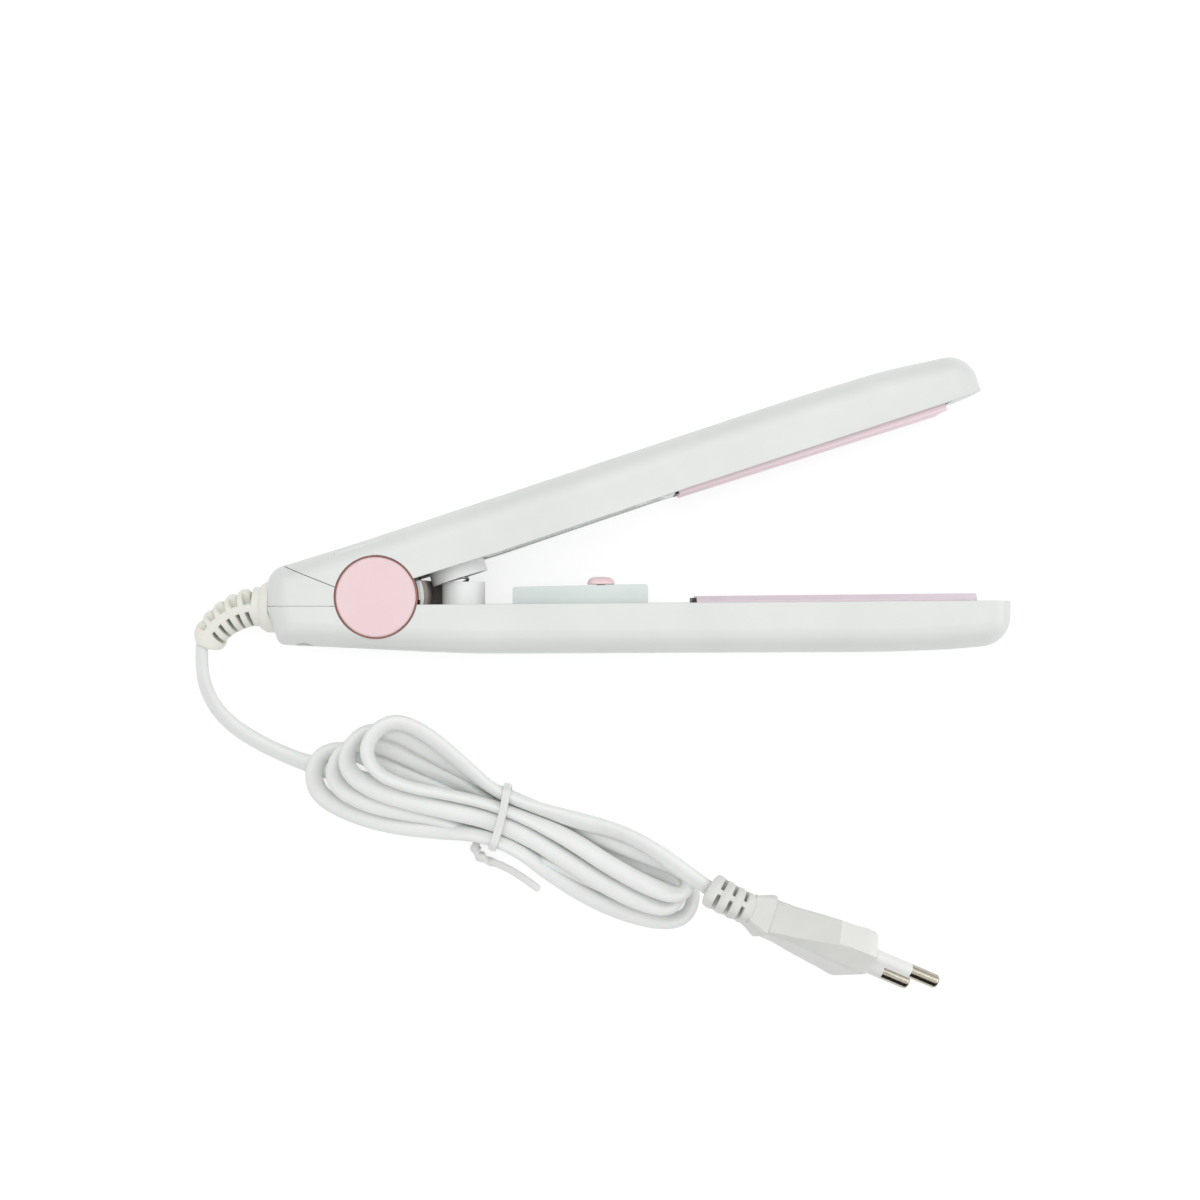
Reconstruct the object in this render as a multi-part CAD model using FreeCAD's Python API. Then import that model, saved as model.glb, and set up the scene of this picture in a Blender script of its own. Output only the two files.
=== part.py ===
import FreeCAD, Part
import math
import os

# Small hair crimper lying on its side. Millimetres.
# The hinge axis is Z, the surface it lies on is z = 0, X runs along the lower arm to its tip
# and Y is the way the upper arm opens. The pose is the open one, with the upper arm at its stop.

# Whole body
body_width = 28.0
wall = 2.0
back_round = 6.5
seam = 0.1
cover_fit = 0.2
cover_thickness = 2.0
cover_sink = 0.3
upper_cover_lip = 0.6
upper_cover_lip_length = 4.0

# Hinge
open_angle = 17.25
closing_travel = 18.1
ring_radius = 11.5
ring_gap = 0.5
cap_thickness = 1.9
cap_edge = 0.35
cap_socket_depth = 1.0
knuckle_clearance = 0.3
side_clearance = 0.3
ear_width = 5.6
ear_flat_y = -7.5
web_width = 15.0
pin_radius = 3.0
pin_fit = 0.02
bush_wall = 2.0
bush_running = 0.05

# Lower arm, seen from the side
rear_x = -30.5
rear_slope_y = -4.0
rear_foot_x = -27.3
rear_foot_y = -13.2
rear_foot_round = 2.5
belly_x = 25.0
belly_y = -15.7
belly_front_length = 35.1
belly_front_y = -15.2
chin_length = 17.1
chin_y = -14.5
tip_reach = 9.5
tip_back_y = -13.0
tip_round = 8.5
lower_edge_hinge_y = -2.1
lower_edge_tip_y = -0.95
parting_y = -2.6
gentle_bend = 400.0
chin_bend = 60.0
slope_bend = 6.0

# Rear cover above the parting line, and the slanted faces that stop the upper arm
rear_top_round = 5.5
stop_inner_x = -11.0
stop_inner_y = 2.55
stop_outer_x = -24.6
stop_outer_y = 7.95
stop_gap = 0.15

# Upper arm, along its own axis, before it is swung open
upper_back_y = 16.0
upper_hump_length = 48.3
upper_hump_y = 18.45
upper_shoulder_length = 24.3
upper_shoulder_y = 18.3
upper_tip_reach = 10.7
upper_tip_back_y = 16.2
upper_tip_round = 8.0
upper_edge_hinge_y = 1.8
upper_edge_rise_x = 36.0
upper_edge_mid_length = 1.8
upper_edge_mid_y = 3.2
upper_edge_front_y = 4.5
upper_edge_tip_y = 5.0

# Ridged plates
plate_length = 77.4
plate_rear_x = 88.2
plate_width = 19.0
plate_base = 2.2
ridge_count = 5
ridge_depth = 1.5
ridge_round = 0.4
lower_crest_rear_y = 0.4
lower_crest_tip_y = 1.2
upper_crest_rear_y = 2.1
upper_crest_tip_y = 2.6
holder_lip = 1.1
holder_lip_drop = 0.6
holder_thickness = 1.6
holder_rail_drop = 2.4
holder_fit = 0.3
holder_rib_shares = (0.25, 0.8)
heater_length = 50.0
heater_width = 11.0
heater_thickness = 2.0
heater_clip_length = 56.0
heater_clip_thickness = 0.8
nose_gap = 0.9

# Return spring between its two cups
cup_x = 23.3
cup_radius = 6.0
cup_wall = 1.2
cup_top_y = 4.3
cup_floor = 1.5
cup_bottom_y = -13.2
cap_cup_x = 22.9
cap_cup_radius = 8.0
cap_cup_wall = 0.8
cap_cup_rim_y = -1.6
cap_cup_height = 13.6
spring_radius = 2.6
spring_wire = 0.8
spring_turns = 7

# Switch on the inner face of the lower arm
housing_rear_x = 37.3
housing_front_x = 74.8
housing_top_rear_y = 2.8
housing_top_front_y = 3.6
housing_width = 14.0
housing_wall = 1.2
housing_round = 0.8
knob_x = 61.8
knob_length = 7.7
knob_width = 9.0
knob_height = 2.1
knob_gap = 0.4
knob_round = 0.7
knob_neck_length = 2.4
knob_neck_width = 4.0
knob_travel = 4.0
slot_clearance = 0.4
slide_box_length = 20.0
slide_box_width = 8.4
slide_box_height = 7.0
slider_top_y = 1.7
slider_height = 1.6
slider_length = 6.0
terminal_width = 2.0
terminal_thickness = 0.8
terminal_length = 3.0
pocket_clearance = 1.2
pocket_wall = 1.0
pocket_ceiling_y = 7.8

# Shroud round the front of the hinge barrel
shroud_thickness = 2.0
shroud_clearance = 0.5
shroud_top_y = 4.6
shroud_width = 21.0
cheek_reach = 17.2
cheek_low_z = 2.6
cheek_thickness = 3.0

# Screws and their bosses
screw_radius = 1.2
screw_head_radius = 2.2
screw_head_height = 1.2
screw_length = 7.0
screw_slot = 0.5
boss_radius = 2.6
screw_fit = 0.05
lower_screw_places = (33.5, 80.5)
upper_screw_x = 81.5
rear_screw_x = -20.0
rear_screw_inset = 5.7
rear_screw_seat_y = -9.0
rear_screw_length = 11.0
rear_post_radius = 3.2

# Strain relief of the iron
relief_y = -2.7
relief_straight = 3.4
relief_bend_radius = 15.6
relief_turn = 80.0
relief_droop = 14.0
relief_flange_radius = 7.5
relief_flange_thickness = 2.4
relief_neck_radius = 3.3
relief_first_radius = 5.3
relief_last_radius = 4.3
relief_ring_turn = 5.5
relief_lobes = 5
relief_lobe_pitch = 12.0
relief_lobe_share = 0.66
relief_last_lobe_turn = 22.0
relief_plug_radius = 4.2
relief_lip_radius = 5.6
relief_lip_thickness = 1.5
relief_lip_gap = 0.9
relief_lip_low_y = -6.0
relief_clearance = 0.1

# Leads inside, and the thermal fuse
lead_radius = 0.8
mains_lead_wall_gap = 2.4
upper_lead_wall_gap = 1.4
fuse_radius = 1.8
fuse_length = 9.0
fuse_rear_x = 92.2
cord_tail_end_x = -15.5

# Cord: from the strain relief down to the surface, wound four times, and on to the plug
cord_radius = 1.85
cord_lift = 0.05
lead_first_run = 7.6
lead_route = (
    (-48.9, -30.2, 6.1),
    (-43.6, -36.4, 3.6),
    (-36.4, -41.3, 2.2),
    (-29.0, -44.7, 1.9),
)

# The wound cord, measured along it, across it and up from the surface, about its tied middle
hank_middle = (33.5, -67.0)
hank_angle = -21.0
hank_start = (-59.7, -1.3, 1.9)
hank_row_middle = 4.98
hank_pitch = 4.2
hank_row_low = 2.6
hank_row_high = 6.2
hank_left_ends = (
    ((-41.0, -10.3, 1.9), (-55.6, -3.8, 6.2), (-50.0, 5.5, 4.6)),
    ((-38.0, -6.9, 6.4), (-50.2, 1.3, 10.2), (-43.0, 9.7, 8.0)),
    ((-36.0, -2.2, 9.2), (-48.5, 5.6, 14.5), (-42.0, 13.9, 12.0)),
    ((-33.0, 2.2, 12.6), (-43.9, 9.5, 17.9), (-35.0, 20.0, 17.2)),
)
hank_right_ends = (
    ((48.0, -1.0, 1.9), (58.2, -5.1, 1.9), (46.0, -9.2, 1.9)),
    ((44.0, 3.3, 2.6), (55.5, -1.6, 6.6), (42.0, -6.9, 6.0)),
    ((44.0, 7.5, 5.0), (55.0, 2.0, 10.9), (42.0, -3.0, 9.8)),
    ((43.0, 11.5, 8.5), (54.0, 6.0, 15.0), (43.0, 1.3, 13.0)),
)
hank_exit_run = (
    (20.0, 12.6, 10.1),
    (40.0, 12.9, 14.8),
)
hank_end = (59.4, 7.9, 19.8)
hank_end_turn = -9.0
hank_end_climb = 0.3

# Twist tie round the wound cord's middle
tie_width = 2.0
tie_thickness = 0.5
tie_ease = 0.2
tie_tail_radius = 0.7
tie_tail_route = (
    (30.6, -72.0, 1.4),
    (28.4, -75.4, 1.2),
    (34.0, -77.4, 1.1),
    (44.5, -83.6, 1.1),
)

# Flat two-pin plug, standing on one narrow side with its pins down to the surface
plug_face = (135.4, -101.0, 14.85)
plug_heading = -24.2
plug_pitch = 12.5
plug_roll = 16.5
plug_length = 34.0
plug_side_round = 2.0
plug_half_width = 14.0
plug_front_half_width = 12.6
plug_rear_half_width = 5.6
plug_half_thickness = 6.9
plug_front_half_thickness = 5.4
plug_rear_half_thickness = 5.1
plug_bulge_x = -9.0
plug_collar_length = 4.5
pin_spacing = 18.6
pin_length = 19.0
pin_sleeve_length = 10.0
contact_radius = 2.0
contact_core_radius = 1.4
contact_depth = 8.0
contact_end_round = 1.0
plug_relief_lobes = 4
plug_relief_first_radius = 4.7
plug_relief_last_radius = 4.2
plug_relief_core_radius = 3.1

V = FreeCAD.Vector
UP = V(0, 0, 1)
AHEAD = V(1, 0, 0)
OUTWARD = V(0, 1, 0)
HINGE = V(0, 0, 0)

# Sizes that follow from the driving ones
mid_z = body_width / 2
plate_front_x = plate_rear_x + plate_length
tip_x = plate_front_x + tip_reach
chin_x = tip_x - chin_length
belly_front_x = tip_x - belly_front_length
upper_tip_x = plate_front_x + upper_tip_reach
upper_shoulder_x = upper_tip_x - upper_shoulder_length
upper_hump_x = upper_tip_x - upper_hump_length
upper_edge_mid_x = plate_rear_x + upper_edge_mid_length
cap_radius = ring_radius - ring_gap
knuckle_radius = ring_radius - knuckle_clearance
cavity_front_x = plate_front_x + nose_gap + holder_lip
ear_low_z = wall + side_clearance
centre_low_z = ear_low_z + ear_width + side_clearance
bush_radius = pin_radius + bush_running + bush_wall
inner_face_y = lower_edge_hinge_y - cover_sink
cover_rear_x = ring_radius + shroud_clearance + shroud_thickness
cover_front_x = plate_rear_x - holder_lip - cover_fit
upper_face_y = upper_edge_hinge_y + cover_sink
upper_cover_slope = ((upper_edge_mid_y - upper_edge_hinge_y)
                     / (upper_edge_mid_x - upper_edge_rise_x))
upper_cover_front_y = upper_face_y + upper_cover_slope * (cover_front_x - upper_edge_rise_x)
upper_screw_face_y = upper_face_y + upper_cover_slope * (upper_screw_x - upper_edge_rise_x)
upper_cover_rear_x = cap_cup_x + cap_cup_radius + 2 * cover_fit
pocket_rear_x = housing_rear_x - pocket_clearance
pocket_front_x = housing_front_x + pocket_clearance
pocket_width = housing_width + 2 * pocket_clearance
slide_low_x = knob_x - knob_travel / 2 - slide_box_length / 2
rear_screw_places = (rear_screw_inset, body_width - rear_screw_inset)
rear_screw_tip_y = rear_screw_seat_y + rear_screw_length
plate_back_y = -ridge_depth - plate_base
holder_floor_y = plate_back_y - 3 * seam - heater_thickness - heater_clip_thickness
holder_back_y = holder_floor_y - holder_thickness
heater_start_x = (plate_length - heater_clip_length) / 2
relief_tail_x = rear_x + wall + relief_lip_gap + relief_lip_thickness
mains_lane = mid_z - wall - mains_lead_wall_gap - lead_radius
upper_lane = mid_z - wall - upper_lead_wall_gap - lead_radius

# Routes of the leads inside, each point with its distance from the body's middle
mains_lead_route = (
    (-14.6, -2.9, 1.0),
    (-13.4, -6.0, 4.5),
    (-12.5, -10.6, mains_lane),
    (45.0, -12.3, mains_lane),
    (54.2, -9.6, 2.0),
)
lower_heater_lead_route = (
    (66.0, -8.2, 2.2),
    (72.0, -9.3, 3.7),
    (92.0, -9.3, 3.7),
)
upper_heater_lead_route = (
    (9.0, 12.3, upper_lane),
    (80.0, 13.4, upper_lane),
    (97.0, 11.6, 8.0),
)


def rounded_outline(corners):
    """Closed wire in the XY plane through (x, y, radius) corners, each rounded by a tangent arc."""
    count = len(corners)
    stretches = []
    for index in range(count):
        corner = V(corners[index][0], corners[index][1], 0)
        radius = corners[index][2]
        if radius == 0:
            stretches.append((corner, None, corner))
            continue
        before = corners[index - 1]
        after = corners[(index + 1) % count]
        back = V(before[0], before[1], 0) - corner
        ahead = V(after[0], after[1], 0) - corner
        back.normalize()
        ahead.normalize()
        half_turn = (math.pi - back.getAngle(ahead)) / 2
        reach = radius * math.tan(half_turn)
        inward = back + ahead
        inward.normalize()
        middle = corner + inward * (radius / math.cos(half_turn) - radius)
        stretches.append((corner + back * reach, middle, corner + ahead * reach))
    edges = []
    for index in range(count):
        start, middle, end = stretches[index]
        if middle is not None:
            edges.append(Part.Arc(start, middle, end).toShape())
        following = stretches[(index + 1) % count][0]
        edges.append(Part.LineSegment(end, following).toShape())
    return Part.Wire(edges)


def prism(wire, low, high):
    """Solid of a wire in the XY plane, from z = low to z = high."""
    face = Part.Face(wire)
    face.translate(V(0, 0, low))
    return face.extrude(V(0, 0, high - low))


def box(low, high):
    """Box between two opposite corners."""
    return Part.makeBox(high[0] - low[0], high[1] - low[1], high[2] - low[2], V(*low))


def centred_box(low_x, high_x, low_y, high_y, width):
    """Box that lies evenly about the middle of the body's width."""
    return box((low_x, low_y, mid_z - width / 2), (high_x, high_y, mid_z + width / 2))


def along_z(radius, low, high):
    """Cylinder on the hinge axis."""
    return Part.makeCylinder(radius, high - low, V(0, 0, low), UP)


def along_y(x, z, radius, low, high):
    """Cylinder that points the way the arm opens."""
    return Part.makeCylinder(radius, high - low, V(x, low, z), OUTWARD)


def along_x(y, z, radius, low, high):
    """Cylinder along an arm."""
    return Part.makeCylinder(radius, high - low, V(low, y, z), AHEAD)


def swing_open(shape):
    """A copy of an upper-arm shape, swung from along X to the open pose."""
    turned = shape.copy()
    turned.rotate(HINGE, UP, open_angle)
    return turned


def export(shape, node):
    """Write one node's STEP file and say what it holds."""
    state = "" if shape.isValid() else "NOT VALID"
    print(node, "solids", len(shape.Solids), "volume", round(shape.Volume, 1), state)
    shape.exportStep("parts/" + node + ".step")


# Arms


def back_edges(solid, belongs):
    """Edges in a plane of constant z whose middle point belongs to the rounded back."""
    chosen = []
    for edge in solid.Edges:
        heights = [corner.Z for corner in edge.Vertexes]
        middle = edge.valueAt((edge.FirstParameter + edge.LastParameter) / 2)
        if max(heights) - min(heights) < 0.001 and belongs(middle):
            chosen.append(edge)
    return chosen


def arm_block(corners, inset, belongs):
    """Side outline drawn in by inset, extruded across the width, with its back edges rounded."""
    face = Part.Face(rounded_outline(corners))
    if inset > 0:
        face = face.makeOffset2D(-inset)
    solid = prism(face.OuterWire, inset, body_width - inset)
    return solid.makeFillet(back_round - inset, back_edges(solid, belongs))


def lower_corners(edge_lift):
    """Side outline of the lower arm, with its open inner edge raised by edge_lift."""
    return (
        (rear_x, parting_y + edge_lift, 0),
        (rear_x, rear_slope_y, slope_bend),
        (rear_foot_x, rear_foot_y, rear_foot_round),
        (belly_x, belly_y, gentle_bend),
        (belly_front_x, belly_front_y, gentle_bend),
        (chin_x, chin_y, chin_bend),
        (tip_x, tip_back_y, tip_round),
        (tip_x, lower_edge_tip_y + edge_lift, 0),
        (plate_front_x, lower_edge_tip_y + edge_lift, 0),
        (ring_radius, lower_edge_hinge_y + edge_lift, 0),
        (-ring_radius, parting_y + edge_lift, 0),
    )


def upper_corners(edge_drop):
    """Side outline of the upper arm along X, with its open inner edge lowered by edge_drop."""
    return (
        (rear_x, upper_edge_hinge_y - edge_drop, 0),
        (upper_edge_rise_x, upper_edge_hinge_y - edge_drop, 0),
        (upper_edge_mid_x, upper_edge_mid_y - edge_drop, 0),
        (plate_front_x, upper_edge_front_y - edge_drop, 0),
        (upper_tip_x, upper_edge_tip_y - edge_drop, 0),
        (upper_tip_x, upper_tip_back_y, upper_tip_round),
        (upper_shoulder_x, upper_shoulder_y, gentle_bend / 4),
        (upper_hump_x, upper_hump_y, gentle_bend),
        (0.0, upper_back_y, gentle_bend),
        (rear_x, upper_back_y, 0),
    )


def rear_corners(floor_drop):
    """Side outline of the housing behind the hinge, up to the upper arm's back line when open."""
    lean = math.tan(math.radians(open_angle))
    line_height = upper_back_y / math.cos(math.radians(open_angle))
    return (
        (rear_x, parting_y + seam - floor_drop, 0),
        (0.0, parting_y + seam - floor_drop, 0),
        (0.0, line_height, 0),
        (rear_x, line_height + rear_x * lean, rear_top_round),
    )


def below_stop_line(lift):
    """Everything under the slanted stop line, shifted up by lift."""
    run = V(stop_inner_x - stop_outer_x, stop_inner_y - stop_outer_y, 0)
    run.normalize()
    shift = V(-run.y, run.x, 0) * lift
    near = V(stop_inner_x, stop_inner_y, 0) + run * body_width + shift
    far = V(stop_outer_x, stop_outer_y, 0) - run * body_width + shift
    deep = V(run.y, -run.x, 0) * (body_width * 3)
    wire = Part.makePolygon([near, far, far + deep, near + deep, near])
    return prism(wire, -1.0, body_width + 1.0)


def stop_height(x):
    """Height of the slanted stop line at x."""
    share = (x - stop_outer_x) / (stop_inner_x - stop_outer_x)
    return stop_outer_y + (stop_inner_y - stop_outer_y) * share


def relief_hole():
    """Hole through the rear wall for the strain relief."""
    return along_x(relief_y, mid_z, relief_plug_radius + relief_clearance,
                   rear_x - 1.0, rear_x + wall + 1.0)


def holder_ribs():
    """Cross ribs that carry a plate holder, in a plate's own frame, deep enough for any arm."""
    ribs = []
    for share in holder_rib_shares:
        middle = plate_length * share
        ribs.append(plate_box(middle - wall / 2, middle + wall / 2,
                              -body_width, holder_back_y - seam, body_width - wall))
    return Part.makeCompound(ribs)


def ring_hole():
    """The round opening in both sides of the body that the hinge sits in."""
    return along_z(ring_radius, -1.0, body_width + 1.0)


def boss(x, low, high):
    """Screw boss with its pilot hole."""
    return along_y(x, mid_z, boss_radius, low, high)


def pilot(x, low, high):
    """Hole that a screw sits in."""
    return along_y(x, mid_z, screw_radius + screw_fit, low, high)


def open_hollow(corners, belongs):
    """The inside of an arm, open at the inner edge and closed by the wall everywhere else."""
    hollow = arm_block(corners, wall, belongs)
    room = box((rear_x, -body_width, 0), (cavity_front_x, body_width, body_width))
    return hollow.common(room)


def lower_shell():
    """Hollow shell of the lower arm, with the middle knuckle of the hinge."""
    outer = arm_block(
        lower_corners(0), 0,
        lambda at: at.y < parting_y - wall / 2 or at.x > tip_x - wall or at.x < rear_x + wall / 2)
    hollow = open_hollow(
        lower_corners(body_width / 2),
        lambda at: at.y < parting_y - wall / 2 or at.x < rear_x + wall * 1.5)
    shell = outer.cut(hollow).cut(ring_hole())
    knuckle = along_z(knuckle_radius, centre_low_z, body_width - centre_low_z)
    web = box((-web_width / 2, rear_foot_y - wall / 4, centre_low_z),
              (web_width / 2, -knuckle_radius / 2, body_width - centre_low_z))
    shell = shell.fuse(knuckle).fuse(web)
    for x in lower_screw_places:
        shell = shell.fuse(boss(x, belly_y + wall / 2, inner_face_y - cover_thickness - seam))
    for z in rear_screw_places:
        post = along_y(rear_screw_x, z, rear_post_radius, -body_width, parting_y)
        shell = shell.fuse(post.common(outer))
    shell = shell.fuse(seat_on_lower(holder_ribs()).common(outer))
    for x in lower_screw_places:
        shell = shell.cut(pilot(x, inner_face_y - screw_length - cover_thickness, 0))
    for z in rear_screw_places:
        shell = shell.cut(along_y(rear_screw_x, z, screw_head_radius + cover_fit,
                                  -body_width, rear_screw_seat_y))
        shell = shell.cut(along_y(rear_screw_x, z, screw_radius + screw_fit, -body_width, 0))
    shell = shell.cut(along_z(pin_radius + pin_fit, 0, body_width))
    return shell.cut(relief_hole())


def rear_cover():
    """Upper half of the housing behind the hinge, whose slanted top stops the upper arm."""
    outer = arm_block(rear_corners(0), 0, lambda at: at.x < rear_x / 2 and at.y > parting_y + wall
                      or at.x < rear_x + wall / 2 or at.y > upper_back_y / 2)
    hollow = arm_block(rear_corners(body_width / 2), wall,
                       lambda at: at.x < rear_x + wall * 1.5 or at.y > upper_back_y / 2)
    hollow = hollow.common(below_stop_line(-wall))
    cover = outer.cut(hollow).cut(ring_hole()).common(below_stop_line(0))
    for z in rear_screw_places:
        post = along_y(rear_screw_x, z, boss_radius,
                       parting_y + seam, stop_height(rear_screw_x) - wall)
        hole = along_y(rear_screw_x, z, screw_radius + screw_fit, parting_y, rear_screw_tip_y + seam)
        cover = cover.fuse(post).cut(hole)
    return cover.cut(relief_hole())


def upper_shell():
    """Hollow shell of the upper arm, with the two outer knuckles of the hinge."""
    outer = arm_block(upper_corners(0), 0,
                      lambda at: at.y > upper_back_y / 2 or at.x > upper_tip_x - wall / 2)
    hollow = open_hollow(upper_corners(body_width / 2),
                         lambda at: at.y > upper_back_y / 2 and at.x > rear_x + wall * 1.5)
    shell = swing_open(outer.cut(hollow))
    shell = shell.fuse(seat_on_upper(holder_ribs()).common(swing_open(outer)))
    shell = shell.cut(below_stop_line(stop_gap)).cut(ring_hole())
    for low in (ear_low_z, body_width - ear_low_z - ear_width):
        shell = shell.fuse(swing_open(ear(low)))
    post = along_y(cap_cup_x, mid_z, cap_cup_radius / 2,
                   cap_cup_rim_y + cap_cup_height, upper_back_y - wall / 2)
    shell = shell.fuse(swing_open(post))
    screw_post = boss(upper_screw_x, upper_screw_face_y + cover_thickness + 3 * seam, upper_back_y)
    shell = shell.fuse(swing_open(screw_post))
    hole = pilot(upper_screw_x, 0, upper_screw_face_y + screw_length + cover_thickness)
    return shell.cut(swing_open(hole)).cut(along_z(bush_radius, 0, body_width))


def ear(low):
    """One outer knuckle, flattened below so that the leads pass, with its web to the shell."""
    disc = along_z(knuckle_radius, low, low + ear_width)
    disc = disc.common(box((-body_width, ear_flat_y, low), (body_width, body_width, low + ear_width)))
    web = box((-web_width / 2, knuckle_radius / 2, low),
              (web_width / 2, upper_back_y - wall / 2, low + ear_width))
    return disc.fuse(web)


def lower_inner_cover():
    """Flat cover over the lower arm between the hinge and its plate."""
    cover = box((ring_radius, inner_face_y - cover_thickness, wall + cover_fit),
                (cover_front_x, inner_face_y, body_width - wall - cover_fit))
    cover = cover.cut(along_z(cover_rear_x + seam, 0, body_width))
    cover = cover.cut(along_y(cup_x, mid_z, cup_radius + cover_fit, -body_width, body_width))
    cover = cover.cut(centred_box(slide_low_x - cover_fit, slide_low_x + slide_box_length + cover_fit,
                                  -body_width, body_width, slide_box_width + 2 * cover_fit))
    for x in lower_screw_places:
        cover = cover.cut(along_y(x, mid_z, screw_radius + cover_fit, -body_width, 0))
        cover = cover.cut(along_y(x, mid_z, screw_head_radius + cover_fit,
                                  inner_face_y - screw_head_height, 0))
    return cover


def upper_inner_cover():
    """Cover over the upper arm, with the pocket that takes in the switch when the arms close."""
    lip_y = upper_cover_front_y - upper_cover_lip
    profile = (
        (upper_cover_rear_x, upper_face_y, 0),
        (upper_edge_rise_x, upper_face_y, 0),
        (cover_front_x - upper_cover_lip_length, upper_cover_front_y, 0),
        (cover_front_x - upper_cover_lip_length * 3 / 4, lip_y, 0),
        (cover_front_x, lip_y, 0),
        (cover_front_x, upper_cover_front_y + cover_thickness, 0),
        (upper_edge_rise_x, upper_face_y + cover_thickness, 0),
        (upper_cover_rear_x, upper_face_y + cover_thickness, 0),
    )
    cover = prism(rounded_outline(profile), wall + cover_fit, body_width - wall - cover_fit)
    tray = centred_box(pocket_rear_x - pocket_wall, pocket_front_x + pocket_wall,
                       upper_face_y + cover_thickness * 3 / 4,
                       pocket_ceiling_y + pocket_wall, pocket_width + 2 * pocket_wall)
    pocket = centred_box(pocket_rear_x, pocket_front_x, -body_width, pocket_ceiling_y, pocket_width)
    cover = cover.fuse(tray).cut(pocket)
    cover = cover.cut(along_y(upper_screw_x, mid_z, screw_radius + cover_fit, 0, body_width))
    cover = cover.cut(along_y(upper_screw_x, mid_z, screw_head_radius + cover_fit,
                              0, upper_screw_face_y + screw_head_height))
    return swing_open(cover)


# Hinge


def side_cap(low):
    """Round flat cap over one end of the hinge, with a bevelled rim outside."""
    cap = along_z(cap_radius, 0, cap_thickness)
    rim = [edge for edge in cap.Edges if edge.BoundBox.ZMin > cap_thickness - 0.01]
    cap = cap.makeChamfer(cap_edge, rim)
    cap = cap.cut(along_z(pin_radius + pin_fit, -1.0, cap_socket_depth))
    if low:
        cap.rotate(HINGE, AHEAD, 180)
        cap.translate(V(0, 0, cap_thickness))
    else:
        cap.translate(V(0, 0, body_width - cap_thickness))
    return cap


def hinge_pin():
    """Steel pin from one cap to the other."""
    end = cap_thickness - cap_socket_depth + seam
    return along_z(pin_radius, end, body_width - end)


def hinge_bushes():
    """Plain bushes pressed into the two outer knuckles."""
    bushes = []
    for low in (ear_low_z, body_width - ear_low_z - ear_width):
        sleeve = along_z(bush_radius, low, low + ear_width)
        bushes.append(sleeve.cut(along_z(pin_radius + bush_running, 0, body_width)))
    return Part.makeCompound(bushes)


def hinge_shroud():
    """Curved wall in front of the barrel, with a cheek beside it, both standing on the cover."""
    inner = ring_radius + shroud_clearance
    low_z = mid_z - shroud_width / 2
    ring = along_z(inner + shroud_thickness, low_z, low_z + shroud_width)
    slab = box((0, inner_face_y - cover_thickness * 2, low_z),
               (body_width, shroud_top_y, low_z + shroud_width))
    cheek = box((ring_radius, inner_face_y + seam, cheek_low_z),
                (cheek_reach, shroud_top_y, cheek_low_z + cheek_thickness))
    return ring.common(slab).fuse(cheek).cut(along_z(inner, -1.0, body_width + 1.0))


# Return spring


def lower_spring_cup():
    """Cup that stands in the lower arm and holds the spring's lower end."""
    cup = along_y(cup_x, mid_z, cup_radius, cup_bottom_y, cup_top_y)
    return cup.cut(along_y(cup_x, mid_z, cup_radius - cup_wall, cup_bottom_y + cup_floor, body_width))


def upper_spring_cup():
    """Wider cup in the upper arm, which comes down over the lower one as the arms close."""
    top = cap_cup_rim_y + cap_cup_height - seam
    cup = along_y(cap_cup_x, mid_z, cap_cup_radius, cap_cup_rim_y, top)
    bore = along_y(cap_cup_x, mid_z, cap_cup_radius - cap_cup_wall, -body_width, top - cup_floor)
    return swing_open(cup.cut(bore))


def joined_by_biarcs(places, headings):
    """Wire through places with the given unit headings, two tangent arcs between each pair."""
    edges = []
    for index in range(len(places) - 1):
        start = places[index]
        end = places[index + 1]
        first = headings[index]
        last = headings[index + 1]
        chord = end - start
        both = first + last
        spread = 2 * (1 - first.dot(last))
        along = chord.dot(both)
        if spread < 1e-9:
            reach = chord.dot(chord) / (2 * along)
        else:
            reach = (math.sqrt(along * along + spread * chord.dot(chord)) - along) / spread
        joint = (start + end + (first - last) * reach) * 0.5
        edges.append(arc_from(start, first, joint))
        edges.append(arc_from(end, last * -1, joint))
    return Part.Wire(Part.__sortEdges__(edges))


def arc_from(start, heading, end):
    """Arc that leaves start along heading and reaches end, or a straight run if it needs none."""
    chord = end - start
    side = chord - heading * chord.dot(heading)
    if side.Length < 1e-6:
        return Part.LineSegment(start, end).toShape()
    side.normalize()
    rise = chord.dot(side)
    radius = chord.dot(chord) / (2 * rise)
    centre = start + side * radius
    to_middle = start + chord * 0.5 - centre
    if to_middle.Length < 1e-6:
        to_middle = heading
    to_middle.normalize()
    return Part.Arc(start, centre + to_middle * radius, end).toShape()


def round_tube(path, start, heading, radius):
    """Solid tube of one radius along a path."""
    section = Part.Wire([Part.Circle(start, heading, radius).toShape()])
    return path.makePipeShell([section], True, False)


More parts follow.
